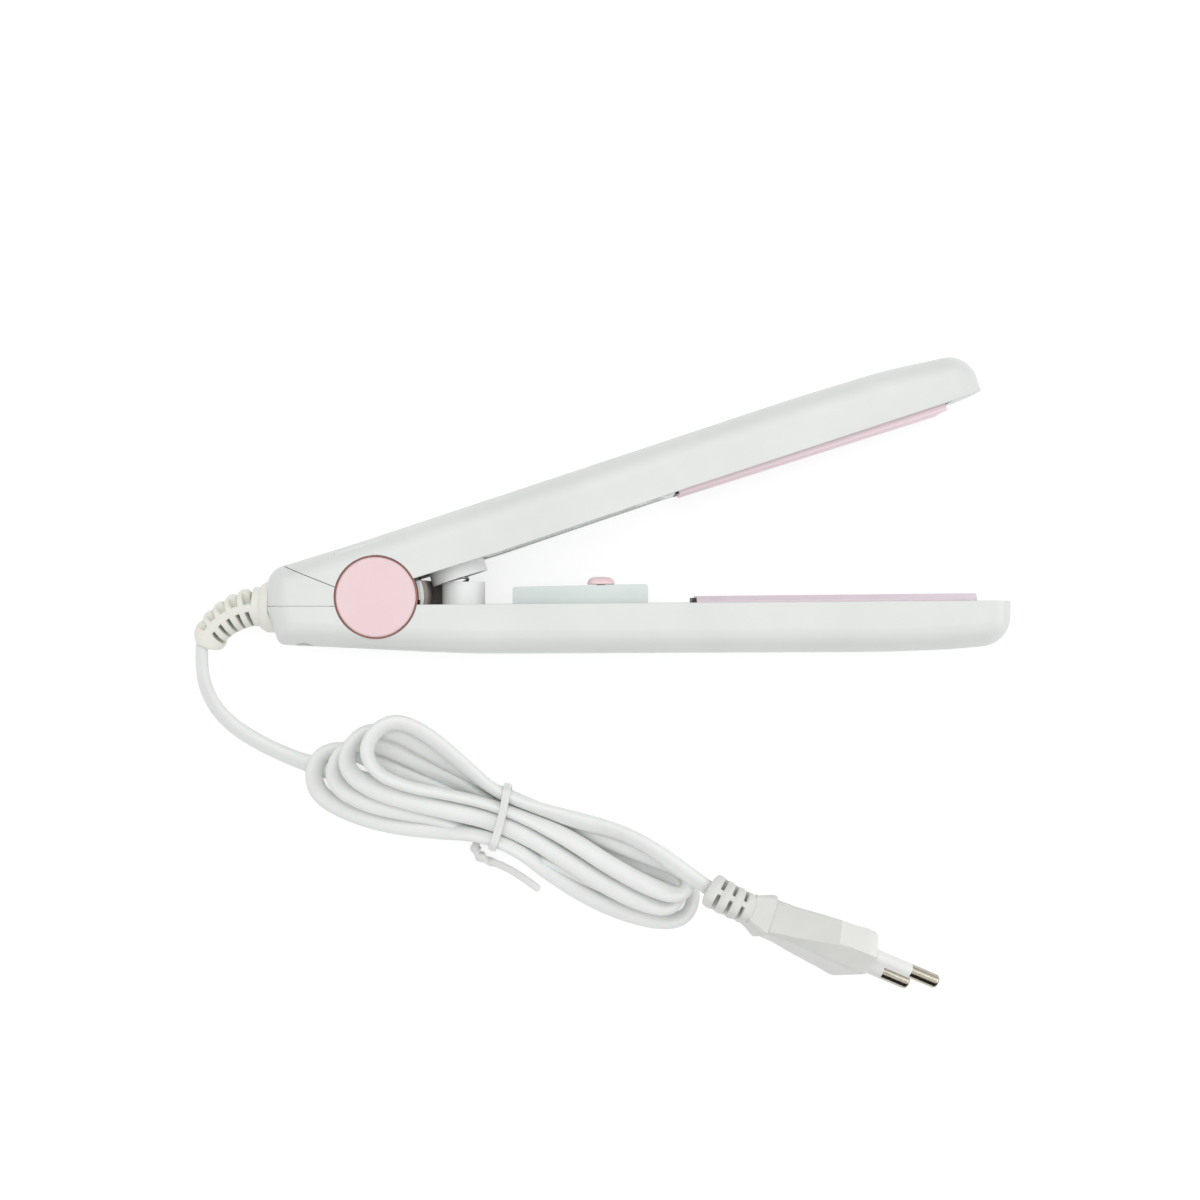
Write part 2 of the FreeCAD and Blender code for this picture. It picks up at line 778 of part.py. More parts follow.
def return_spring():
    """Compression spring on a gently bent axis, from the lower cup's floor to the upper cup's roof."""
    foot = V(cup_x, cup_bottom_y + cup_floor + spring_wire / 2 + seam, mid_z)
    roof_y = cap_cup_rim_y + cap_cup_height - seam - cup_floor - spring_wire / 2 - seam
    lean = math.radians(open_angle)
    roof = V(cap_cup_x * math.cos(lean) - roof_y * math.sin(lean),
             cap_cup_x * math.sin(lean) + roof_y * math.cos(lean), mid_z)
    reach = roof - foot
    bend_radius = reach.Length / (2 * math.sin(lean / 2))
    places = []
    headings = []
    quarters = 4 * spring_turns
    length = bend_radius * lean
    for step in range(quarters + 1):
        share = step / quarters
        bend = lean * share
        turn = 2 * math.pi * spring_turns * share
        axis = V(-math.sin(bend), math.cos(bend), 0)
        side = V(math.cos(bend), math.sin(bend), 0)
        middle = foot + V(bend_radius * (math.cos(bend) - 1), bend_radius * math.sin(bend), 0)
        place = middle + side * (spring_radius * math.cos(turn)) + UP * (spring_radius * math.sin(turn))
        round_the_axis = UP * math.cos(turn) - side * math.sin(turn)
        climb = axis * (length / (2 * math.pi * spring_turns * spring_radius))
        heading = round_the_axis + climb
        heading.normalize()
        places.append(place)
        headings.append(heading)
    path = joined_by_biarcs(places, headings)
    return round_tube(path, places[0], headings[0], spring_wire / 2)


# Switch


def switch_housing():
    """Raised hollow cover of the switch, with the slot that the knob's neck slides in."""
    corners = (
        (housing_rear_x, inner_face_y, 0),
        (housing_front_x, inner_face_y, 0),
        (housing_front_x, housing_top_front_y, housing_round),
        (housing_rear_x, housing_top_rear_y, housing_round),
    )
    low = mid_z - housing_width / 2
    block = prism(rounded_outline(corners), low, low + housing_width)
    inside = Part.Face(rounded_outline(corners)).makeOffset2D(-housing_wall)
    inside = prism(inside.OuterWire, low + housing_wall, low + housing_width - housing_wall)
    mouth = centred_box(housing_rear_x + housing_wall, housing_front_x - housing_wall,
                        inner_face_y - seam, inner_face_y + 2 * housing_wall,
                        housing_width - 2 * housing_wall)
    slot = centred_box(knob_x - knob_neck_length / 2 - knob_travel - slot_clearance,
                       knob_x + knob_neck_length / 2 + slot_clearance,
                       0, body_width, knob_neck_width + 2 * slot_clearance)
    return block.cut(inside).cut(mouth).cut(slot)


def switch_knob():
    """Sliding knob with a rounded top, and the neck that reaches down to the slider."""
    low = housing_height(knob_x) + knob_gap
    corners = (
        (knob_x - knob_length / 2, low, 0),
        (knob_x + knob_length / 2, low, 0),
        (knob_x + knob_length / 2, low + knob_height, knob_round * 2),
        (knob_x - knob_length / 2, low + knob_height, knob_round * 2),
    )
    near = mid_z - knob_width / 2
    button = prism(rounded_outline(corners), near, near + knob_width)
    rim = back_edges(button, lambda at: at.y > low + knob_height / 4)
    button = button.makeFillet(knob_round, rim)
    neck = centred_box(knob_x - knob_neck_length / 2, knob_x + knob_neck_length / 2,
                       slider_top_y, low + knob_height / 4, knob_neck_width)
    return button.fuse(neck)


def switch_slider():
    """The slide switch's own actuator, under the knob's neck."""
    return centred_box(knob_x - slider_length / 2, knob_x + slider_length / 2,
                       slider_top_y - slider_height, slider_top_y, knob_neck_width)


def slide_switch():
    """Body of the slide switch, hanging through the inner cover, with its three terminals."""
    top = slider_top_y - slider_height - knob_gap
    body = centred_box(slide_low_x, slide_low_x + slide_box_length,
                       top - slide_box_height, top, slide_box_width)
    for place in range(3):
        x = slide_low_x + slide_box_length * (place + 1) / 4
        terminal = centred_box(x - terminal_width / 2, x + terminal_width / 2,
                               top - slide_box_height - terminal_length,
                               top - slide_box_height + seam, terminal_thickness)
        body = body.fuse(terminal)
    return body


def housing_height(x):
    """Height of the switch housing's sloping top at x."""
    share = (x - housing_rear_x) / (housing_front_x - housing_rear_x)
    return housing_top_rear_y + (housing_top_front_y - housing_top_rear_y) * share


# Plates. Each is drawn with its crests at y = 0 and its rear end at x = 0, and then seated.


def ridge_line(crest_at_edge):
    """Corners of the ridges across a plate, from one side to the other."""
    corners = []
    for step in range(2 * ridge_count + 1):
        across = plate_width / 2 - step * plate_width / (2 * ridge_count)
        on_crest = (step % 2 == 0) == crest_at_edge
        height = 0.0 if on_crest else -ridge_depth
        inside = 0 < step < 2 * ridge_count
        corners.append((across, height, ridge_round if inside else 0))
    return corners


def plate_bar(outline):
    """Solid of an outline across the plate, run along the plate's length."""
    bar = prism(outline, -plate_length, 0)
    bar.rotate(HINGE, OUTWARD, -90)
    return bar


def ridged_plate(crest_at_edge):
    """Heating plate with ridges along its length and a flat back."""
    corners = [(-plate_width / 2, plate_back_y, 0), (plate_width / 2, plate_back_y, 0)]
    return plate_bar(rounded_outline(corners + ridge_line(crest_at_edge)))


def plate_box(low_x, high_x, low_y, high_y, width):
    """Box in a plate's own frame, even about the plate's middle."""
    return box((low_x, low_y, -width / 2), (high_x, high_y, width / 2))


def plate_holder():
    """Tray of heat-resistant plastic round a plate, its heater and the clip."""
    tray = plate_box(-holder_lip - seam, plate_length + holder_lip + seam, holder_back_y,
                     -holder_rail_drop, body_width - 2 * wall - 2 * holder_fit)
    lip = plate_box(-holder_lip - seam, -seam, -holder_rail_drop - holder_thickness,
                    -holder_lip_drop, plate_width - ridge_depth)
    seat = plate_box(-seam, plate_length + seam, plate_back_y - seam, body_width,
                     plate_width + 2 * seam)
    well = plate_box(heater_start_x - seam, heater_start_x + heater_clip_length + seam,
                     holder_floor_y, body_width, heater_width + 2 * seam)
    return tray.fuse(lip).cut(seat).cut(well)


def heater():
    """Flat heater in its insulating foil, against the back of the plate."""
    start = heater_start_x + (heater_clip_length - heater_length) / 2
    return plate_box(start, start + heater_length, plate_back_y - seam - heater_thickness,
                     plate_back_y - seam, heater_width)


def heater_clip():
    """Sheet-metal clip that presses the heater on to the plate."""
    return plate_box(heater_start_x, heater_start_x + heater_clip_length,
                     holder_floor_y + seam, holder_floor_y + seam + heater_clip_thickness,
                     heater_width - heater_thickness)


def seat_on_lower(shape):
    """A plate part set into the lower arm."""
    lean = math.degrees(math.atan((lower_crest_tip_y - lower_crest_rear_y) / plate_length))
    seated = shape.copy()
    seated.rotate(HINGE, UP, lean)
    seated.translate(V(plate_rear_x, lower_crest_rear_y, mid_z))
    return seated


def seat_on_upper(shape):
    """A plate part turned over and set into the opened upper arm."""
    lean = math.degrees(math.atan((upper_crest_tip_y - upper_crest_rear_y) / plate_length))
    seated = shape.copy()
    seated.rotate(HINGE, AHEAD, 180)
    seated.rotate(HINGE, UP, lean)
    seated.translate(V(plate_rear_x, upper_crest_rear_y, mid_z))
    return swing_open(seated)


# Leads and fasteners


def run_of(route, side):
    """Points of a route on one side of the body's middle."""
    return [V(x, y, mid_z + side * reach) for x, y, reach in route]


def lead_pair(route):
    """Two insulated leads, one on each side of the body's middle."""
    pair = []
    for side in (-1, 1):
        points = run_of(route, side)
        heading = points[1] - points[0]
        pair.append(round_tube(rounded_path(points), points[0], heading, lead_radius))
    return Part.makeCompound(pair)


def thermal_fuse():
    """Thermal fuse against the back of the lower plate holder, on the line between the leads."""
    seat = lower_crest_rear_y + holder_back_y - seam
    return along_x(seat - fuse_radius, mid_z, fuse_radius, fuse_rear_x, fuse_rear_x + fuse_length)


def screw(x, z, seat_y, length, way):
    """Self-tapping screw with a cross recess, its shank running from the seat along Y by way."""
    head = Part.makeCylinder(screw_head_radius, screw_head_height, V(x, seat_y, z), OUTWARD * -way)
    shank = Part.makeCylinder(screw_radius, length, V(x, seat_y, z), OUTWARD * way)
    face_y = seat_y - screw_head_height * way
    half_length = screw_head_radius * 0.6
    recess = box((x - half_length, face_y - screw_slot, z - screw_slot / 2),
                 (x + half_length, face_y + screw_slot, z + screw_slot / 2))
    cross = recess.copy()
    cross.rotate(V(x, face_y, z), OUTWARD, 90)
    return head.fuse(shank).cut(recess).cut(cross)


def lower_cover_screws():
    """Screws of the lower inner cover."""
    seat = inner_face_y - screw_head_height
    return Part.makeCompound([screw(x, mid_z, seat, screw_length, -1) for x in lower_screw_places])


def rear_cover_screws():
    """Screws that hold the rear cover on from the back of the lower arm."""
    screws = [screw(rear_screw_x, z, rear_screw_seat_y, rear_screw_length, 1)
              for z in rear_screw_places]
    return Part.makeCompound(screws)


def upper_cover_screw():
    """Screw of the upper inner cover."""
    return swing_open(screw(upper_screw_x, mid_z, upper_screw_face_y + screw_head_height, screw_length, 1))


# Strain relief and cord


def rounded_path(points):
    """Wire of straight runs through points, joined by tangent arcs as wide as the runs allow."""
    edges = []
    run_start = points[0]
    for index in range(1, len(points) - 1):
        corner = points[index]
        back = points[index - 1] - corner
        ahead = points[index + 1] - corner
        reach = 0.45 * min(back.Length, ahead.Length)
        back.normalize()
        ahead.normalize()
        half_turn = (math.pi - back.getAngle(ahead)) / 2
        radius = reach / math.tan(half_turn)
        inward = back + ahead
        inward.normalize()
        arc_start = corner + back * reach
        arc_end = corner + ahead * reach
        middle = corner + inward * (radius / math.cos(half_turn) - radius)
        edges.append(Part.LineSegment(run_start, arc_start).toShape())
        edges.append(Part.Arc(arc_start, middle, arc_end).toShape())
        run_start = arc_end
    edges.append(Part.LineSegment(run_start, points[-1]).toShape())
    return Part.Wire(edges)


def relief_mouth():
    """Where the strain relief's straight part starts, and the ways it leads and then hangs."""
    droop = math.radians(relief_droop)
    return V(rear_x, relief_y, mid_z), V(-1, 0, 0), V(0, -math.cos(droop), -math.sin(droop))


def strain_relief():
    """Bent strain relief with a flange, slotted lobes round its bend, and a plug in the wall."""
    mouth, way, down = relief_mouth()
    bend_start = mouth + way * relief_straight
    centre = bend_start + down * relief_bend_radius
    axis = way.cross(down)
    core = Part.Face(Part.Wire([Part.Circle(bend_start, way, relief_neck_radius).toShape()]))
    relief = core.revolve(centre, axis, relief_turn)
    relief = relief.fuse(Part.makeCylinder(relief_neck_radius, relief_straight, mouth, way))
    relief = relief.fuse(Part.makeCone(relief_flange_radius, relief_first_radius,
                                       relief_flange_thickness, mouth + way * seam, way))
    ring_start = relief_flange_thickness + seam
    relief = relief.fuse(Part.makeCylinder(relief_first_radius, relief_straight - ring_start,
                                           mouth + way * ring_start, way))
    lobes = [(0.0, relief_ring_turn)]
    for index in range(relief_lobes):
        left = relief_lobes - 1 - index
        start = relief_turn - relief_last_lobe_turn - left * relief_lobe_pitch
        lobes.append((start, relief_lobe_pitch * relief_lobe_share if left else relief_last_lobe_turn))
    for index, (start, turn) in enumerate(lobes):
        radius = relief_first_radius + (relief_last_radius - relief_first_radius) * index / relief_lobes
        lobe = Part.Face(Part.Wire([Part.Circle(bend_start, way, radius).toShape()]))
        lobe.rotate(centre, axis, start)
        relief = relief.fuse(lobe.revolve(centre, axis, turn))
    plug = along_x(relief_y, mid_z, relief_plug_radius, rear_x - seam * 2, relief_tail_x)
    lip = along_x(relief_y, mid_z, relief_lip_radius, rear_x + wall + relief_lip_gap, relief_tail_x)
    above_foot = box((rear_x, relief_lip_low_y, 0), (0, body_width, body_width))
    return relief.fuse(plug).fuse(lip.common(above_foot))


def relief_end():
    """Where the cord leaves the strain relief, and its way there."""
    mouth, way, down = relief_mouth()
    turn = math.radians(relief_turn)
    place = mouth + way * (relief_straight + relief_bend_radius * math.sin(turn))
    place += down * (relief_bend_radius * (1 - math.cos(turn)))
    return place, way * math.cos(turn) + down * math.sin(turn)


def cord_tail():
    """The cord's last stretch, inside the body."""
    return along_x(relief_y, mid_z, cord_radius, relief_tail_x, cord_tail_end_x)


def cord_lead():
    """Free stretch of the cord, from the strain relief down to where the winding starts."""
    start, way = relief_end()
    points = [start, start + way * lead_first_run]
    points += [V(*place) for place in lead_route]
    points.append(in_hank(hank_start))
    return round_tube(rounded_path(points), start, way, cord_radius)


def in_hank(place):
    """Point of the wound cord from its distances along, across and up."""
    point = V(*place)
    turned = FreeCAD.Rotation(UP, hank_angle).multVec(point)
    return turned + V(hank_middle[0], hank_middle[1], 0)


def hank_heading(turn, climb):
    """Unit heading of the wound cord, turned away from its long axis, with a share of climb."""
    heading = FreeCAD.Rotation(UP, hank_angle + turn).multVec(AHEAD) + UP * climb
    heading.normalize()
    return heading


def hank_route():
    """Places and headings of the wound cord, four turns drawn in at the middle in two rows."""
    stops = [(hank_start, 0)]
    for turn in range(len(hank_left_ends)):
        low_row = hank_row_middle + (turn - 1) * hank_pitch
        stops.append(((0.0, low_row, hank_row_low), 0))
        for place, way in zip(hank_right_ends[turn], (0, -90, 180)):
            stops.append((place, way))
        if turn == 0:
            stops.append(((0.0, hank_row_middle - 2 * hank_pitch, hank_row_low), 180))
        else:
            high_row = hank_row_middle + (turn - 2.5) * hank_pitch
            stops.append(((0.0, high_row, hank_row_high), 180))
        for place, way in zip(hank_left_ends[turn], (180, 90, 0)):
            stops.append((place, way))
    stops.append(((0.0, hank_row_middle + 1.5 * hank_pitch, hank_row_high), 0))
    for place in hank_exit_run:
        stops.append((place, 0))
    places = [in_hank(place) for place, way in stops]
    headings = [hank_heading(way, 0.0) for place, way in stops]
    places.append(in_hank(hank_end))
    headings.append(hank_heading(hank_end_turn, hank_end_climb))
    return places, headings


def cord_hank():
    """Wound stretch of the cord, one unbroken tube."""
    places, headings = hank_route()
    return round_tube(joined_by_biarcs(places, headings), places[0], headings[0], cord_radius)


def twist_tie():
    """Flat tie round the drawn-in middle of the winding, with its twisted tail."""
    reach = 2 * hank_pitch + cord_radius + tie_ease
    narrow = reach - hank_pitch / 2
    low = hank_row_low - cord_radius - tie_ease
    high = hank_row_high + cord_radius + tie_ease
    corners = (
        (low, hank_row_middle - reach, cord_radius),
        (low, hank_row_middle + reach, cord_radius),
        (hank_row_low + cord_radius / 2, hank_row_middle + reach, cord_radius),
        (high, hank_row_middle + narrow, cord_radius),
        (high, hank_row_middle - narrow, cord_radius),
        (hank_row_low + cord_radius / 2, hank_row_middle - reach, cord_radius),
    )
    inner = Part.Face(rounded_outline(corners))
    outer = inner.makeOffset2D(tie_thickness)
    loop = prism(outer.OuterWire, -tie_width / 2, tie_width / 2)
    loop = loop.cut(prism(inner.OuterWire, -tie_width, tie_width))
    loop.rotate(HINGE, OUTWARD, -90)
    loop.rotate(HINGE, UP, hank_angle)
    loop.translate(V(hank_middle[0], hank_middle[1], 0))
    points = [V(*place) for place in tie_tail_route]
    return loop.fuse(round_tube(rounded_path(points), points[0], points[1] - points[0],
                                tie_tail_radius))


# Plug. It is drawn with its face at x = 0, pins along X and its wide side along Z, then seated.


def half_outline(stations):
    """Closed outline that is the same above and below the X axis, from (x, reach, radius)."""
    upper = [(x, reach, radius) for x, reach, radius in stations]
    lower = [(x, -reach, radius) for x, reach, radius in reversed(stations)]
    return rounded_outline(upper + lower)


def plug_body():
    """Plug body: a wide wedge with a bulged back and front and a collar at its rear."""
    sides = half_outline((
        (0.0, plug_front_half_width, plug_side_round),
        (plug_bulge_x / 2, plug_half_width, plug_side_round * 2),
        (plug_bulge_x * 2, plug_half_width - plug_side_round, plug_length),
        (-plug_length, plug_rear_half_width, 0),
    ))
    wedge = prism(sides, -plug_half_width, plug_half_width)
    wedge.rotate(HINGE, AHEAD, 90)
    flanks = half_outline((
        (0.0, plug_front_half_thickness, 0),
        (plug_bulge_x, plug_half_thickness, plug_length),
        (-plug_length, plug_rear_half_thickness, 0),
    ))
    body = wedge.common(prism(flanks, -plug_half_width, plug_half_width))
    collar = box((-plug_length, -plug_rear_half_thickness - seam * 4, -plug_rear_half_width - seam * 4),
                 (plug_collar_length - plug_length, plug_rear_half_thickness + seam * 4,
                  plug_rear_half_width + seam * 4))
    body = body.fuse(collar)
    for z in (-pin_spacing / 2, pin_spacing / 2):
        body = body.cut(Part.makeCylinder(contact_core_radius + pin_fit, contact_depth + seam,
                                          V(-contact_depth - seam, 0, z), AHEAD))
    return body


def plug_pins():
    """Two round contact pins with rounded ends."""
    pins = []
    for z in (-pin_spacing / 2, pin_spacing / 2):
        core = Part.makeCylinder(contact_core_radius, contact_depth + pin_sleeve_length + seam,
                                 V(-contact_depth, 0, z), AHEAD)
        tip = Part.makeCylinder(contact_radius, pin_length - pin_sleeve_length,
                                V(pin_sleeve_length, 0, z), AHEAD)
        rim = [edge for edge in tip.Edges if edge.BoundBox.XMin > pin_length - seam]
        pins.append(core.fuse(tip.makeFillet(contact_end_round, rim)))
    return Part.makeCompound(pins)


def pin_sleeves():
    """Insulating sleeves round the roots of the pins."""
    sleeves = []
    for z in (-pin_spacing / 2, pin_spacing / 2):
        sleeve = Part.makeCylinder(contact_radius, pin_sleeve_length, V(0, 0, z), AHEAD)
        sleeves.append(sleeve.cut(Part.makeCylinder(contact_core_radius + pin_fit,
                                                    pin_sleeve_length, V(0, 0, z), AHEAD)))
    return Part.makeCompound(sleeves)


def seat_plug(shape):
    """A plug part rolled, pitched and turned the way the plug lies."""
    seated = shape.copy()
    seated.rotate(HINGE, AHEAD, -plug_roll)
    seated.rotate(HINGE, OUTWARD, plug_pitch)
    seated.rotate(HINGE, UP, plug_heading)
    seated.translate(V(*plug_face))
    return seated


def plug_relief():
    """Slotted relief of the plug, from the end of the winding up to the plug's collar."""
    axis = seat_plug(Part.makeLine(V(-plug_length, 0, 0), V(0, 0, 0)))
    rear = axis.Vertexes[0].Point
    ahead = axis.Vertexes[1].Point - rear
    ahead.normalize()
    place = in_hank(hank_end)
    way = hank_heading(hank_end_turn, hank_end_climb)
    wire = joined_by_biarcs([place, rear], [way, ahead])
    relief = round_tube(wire, place, way, plug_relief_core_radius)
    pitch = wire.Length / plug_relief_lobes
    for index in range(plug_relief_lobes):
        share = index / (plug_relief_lobes - 1)
        radius = plug_relief_last_radius + (plug_relief_first_radius - plug_relief_last_radius) * share
        middle, heading = place_on(wire, pitch * (index + 1 - relief_lobe_share))
        length = pitch * relief_lobe_share
        relief = relief.fuse(Part.makeCylinder(radius, length, middle - heading * (length / 2), heading))
    return relief


def place_on(wire, distance):
    """Point and heading at a distance along a wire."""
    left = distance
    for edge in wire.OrderedEdges:
        if left <= edge.Length:
            break
        left -= edge.Length
    if edge.Orientation == "Reversed":
        parameter = edge.getParameterByLength(edge.Length - left)
        return edge.valueAt(parameter), edge.tangentAt(parameter) * -1
    parameter = edge.getParameterByLength(left)
    return edge.valueAt(parameter), edge.tangentAt(parameter)


# Make every piece

os.makedirs("parts", exist_ok=True)

export(lower_shell(), "lower_shell")
export(rear_cover(), "rear_cover")
export(lower_inner_cover(), "lower_inner_cover")
export(side_cap(True), "side_cap_back")
export(side_cap(False), "side_cap_front")
export(hinge_pin(), "hinge_pin")
export(hinge_shroud(), "hinge_shroud")
export(lower_spring_cup(), "lower_spring_cup")
export(return_spring(), "return_spring")
export(switch_housing(), "switch_housing")
export(slide_switch(), "slide_switch")
export(switch_knob(), "switch_knob")
export(switch_slider(), "switch_slider")
export(seat_on_lower(plate_holder()), "lower_plate_holder")
export(seat_on_lower(ridged_plate(False)), "lower_plate")
export(seat_on_lower(heater()), "lower_heater")
export(seat_on_lower(heater_clip()), "lower_heater_clip")
export(lead_pair(mains_lead_route), "mains_leads")
export(lead_pair(lower_heater_lead_route), "lower_heater_leads")
export(thermal_fuse(), "thermal_fuse")
export(lower_cover_screws(), "lower_cover_screws")
export(rear_cover_screws(), "rear_cover_screws")
export(upper_shell(), "upper_shell")
export(upper_inner_cover(), "upper_inner_cover")
export(hinge_bushes(), "hinge_bushes")
export(upper_spring_cup(), "upper_spring_cup")
export(seat_on_upper(plate_holder()), "upper_plate_holder")
export(seat_on_upper(ridged_plate(True)), "upper_plate")
export(seat_on_upper(heater()), "upper_heater")
export(seat_on_upper(heater_clip()), "upper_heater_clip")
export(swing_open(lead_pair(upper_heater_lead_route)), "upper_heater_leads")
export(upper_cover_screw(), "upper_cover_screw")
export(strain_relief(), "strain_relief")
export(cord_tail(), "cord_tail")
export(cord_lead(), "cord_lead")
export(cord_hank(), "cord_hank")
export(twist_tie(), "twist_tie")
export(seat_plug(plug_body()), "plug_body")
export(seat_plug(plug_pins()), "plug_pins")
export(seat_plug(pin_sleeves()), "pin_sleeves")
export(plug_relief(), "plug_relief")
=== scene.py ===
import math

import bpy
from mathutils import Matrix, Vector


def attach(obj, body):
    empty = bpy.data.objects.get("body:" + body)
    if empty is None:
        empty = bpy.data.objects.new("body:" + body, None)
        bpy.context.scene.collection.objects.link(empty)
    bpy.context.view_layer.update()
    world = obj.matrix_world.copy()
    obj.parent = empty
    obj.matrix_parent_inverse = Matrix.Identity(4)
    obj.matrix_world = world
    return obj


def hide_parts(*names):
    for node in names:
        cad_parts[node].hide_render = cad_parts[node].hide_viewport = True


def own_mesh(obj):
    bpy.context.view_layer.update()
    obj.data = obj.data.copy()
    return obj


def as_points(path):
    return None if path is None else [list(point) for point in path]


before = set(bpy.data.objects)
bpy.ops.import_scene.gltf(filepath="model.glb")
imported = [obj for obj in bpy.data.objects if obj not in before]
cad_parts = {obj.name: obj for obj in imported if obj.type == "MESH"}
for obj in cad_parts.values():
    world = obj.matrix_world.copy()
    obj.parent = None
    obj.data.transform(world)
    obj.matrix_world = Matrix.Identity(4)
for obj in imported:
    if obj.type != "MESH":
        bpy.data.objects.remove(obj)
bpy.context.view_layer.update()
MM = 0.001
# Points closer together than this are one
MERGE = 0.002 * MM
ROOT = "lower_arm"


# Camera: straight above the iron, which lies on its side

camera = bpy.data.objects.new("camera", bpy.data.cameras.new("camera"))
camera.data.lens = 65.7
camera.data.sensor_width = 36
camera.location = (0.0615, -0.00082, 0.628)
bpy.context.collection.objects.link(camera)
bpy.context.scene.camera = camera


# Modelling helpers


def clear_selection():
    """Leaves object mode with nothing selected."""
    if bpy.context.object and bpy.context.object.mode != "OBJECT":
        bpy.ops.object.mode_set(mode="OBJECT")
    bpy.ops.object.select_all(action="DESELECT")


def close_skin(piece):
    """Merges doubled points of the object in hand and turns its faces outward."""
    clear_selection()
    piece.select_set(True)
    bpy.context.view_layer.objects.active = piece
    bpy.ops.object.mode_set(mode="EDIT")
    bpy.ops.mesh.select_all(action="SELECT")
    bpy.ops.mesh.remove_doubles(threshold=MERGE)
    bpy.ops.mesh.normals_make_consistent(inside=False)
    bpy.ops.object.mode_set(mode="OBJECT")


def wrapped(name, columns, rows, place, smooth=35):
    """Grid wrapped into a closed skin: place(across, along), each 0 to 1, puts its points."""
    clear_selection()
    bpy.ops.mesh.primitive_grid_add(x_subdivisions=columns, y_subdivisions=rows, size=1)
    piece = bpy.context.object
    piece.name = piece.data.name = name
    for vertex in piece.data.vertices:
        across, along = round(vertex.co.x + 0.5, 6), round(vertex.co.y + 0.5, 6)
        vertex.co = place(across, along)
    close_skin(piece)
    bpy.ops.object.shade_smooth_by_angle(angle=math.radians(smooth))
    return piece


def finished(piece, kind, **settings):
    """Adds one modifier and applies it."""
    modifier = piece.modifiers.new(kind.lower(), kind)
    for key, value in settings.items():
        setattr(modifier, key, value)
    clear_selection()
    piece.select_set(True)
    bpy.context.view_layer.objects.active = piece
    bpy.ops.object.modifier_apply(modifier=modifier.name)


def rod(name, radius, start, end, place):
    """Round rod of the lower arm, from start to end along x; place(x, y, z) puts its points."""
    clear_selection()
    bpy.ops.mesh.primitive_cylinder_add(vertices=64, radius=radius, depth=end - start)
    piece = bpy.context.object
    piece.name = piece.data.name = name
    for vertex in piece.data.vertices:
        vertex.co = place(vertex.co.z + (start + end) / 2, vertex.co.y, vertex.co.x)
    close_skin(piece)
    bpy.ops.object.shade_smooth_by_angle(angle=math.radians(35))
    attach(piece, ROOT)
    return piece


def eased(value, low, high):
    """Smooth step from 0 at low to 1 at high."""
    share = min(1.0, max(0.0, (value - low) / (high - low)))
    return share * share * (3 - 2 * share)


def read_off(table, at):
    """Value at a place in a table of (place, value) rows, smoothly between rows."""
    if at <= table[0][0]:
        return table[0][1]
    for (low, before), (high, after) in zip(table, table[1:]):
        if at <= high:
            return before + (after - before) * eased(at, low, high)
    return table[-1][1]


# Cord: one spline through the winding. Its points are (along, across, up, tilt) about the
# winding's middle

HANK_MIDDLE = Vector((33.5, -67.0, 0.0)) * MM
HANK_TURN = Matrix.Rotation(math.radians(-21.0), 3, "Z")
CORD_WIDTH = 5.3
CORD_THICKNESS = 3.35
# How far the corners of the cord's oval section are filled out
SECTION_CORNER = 1.03

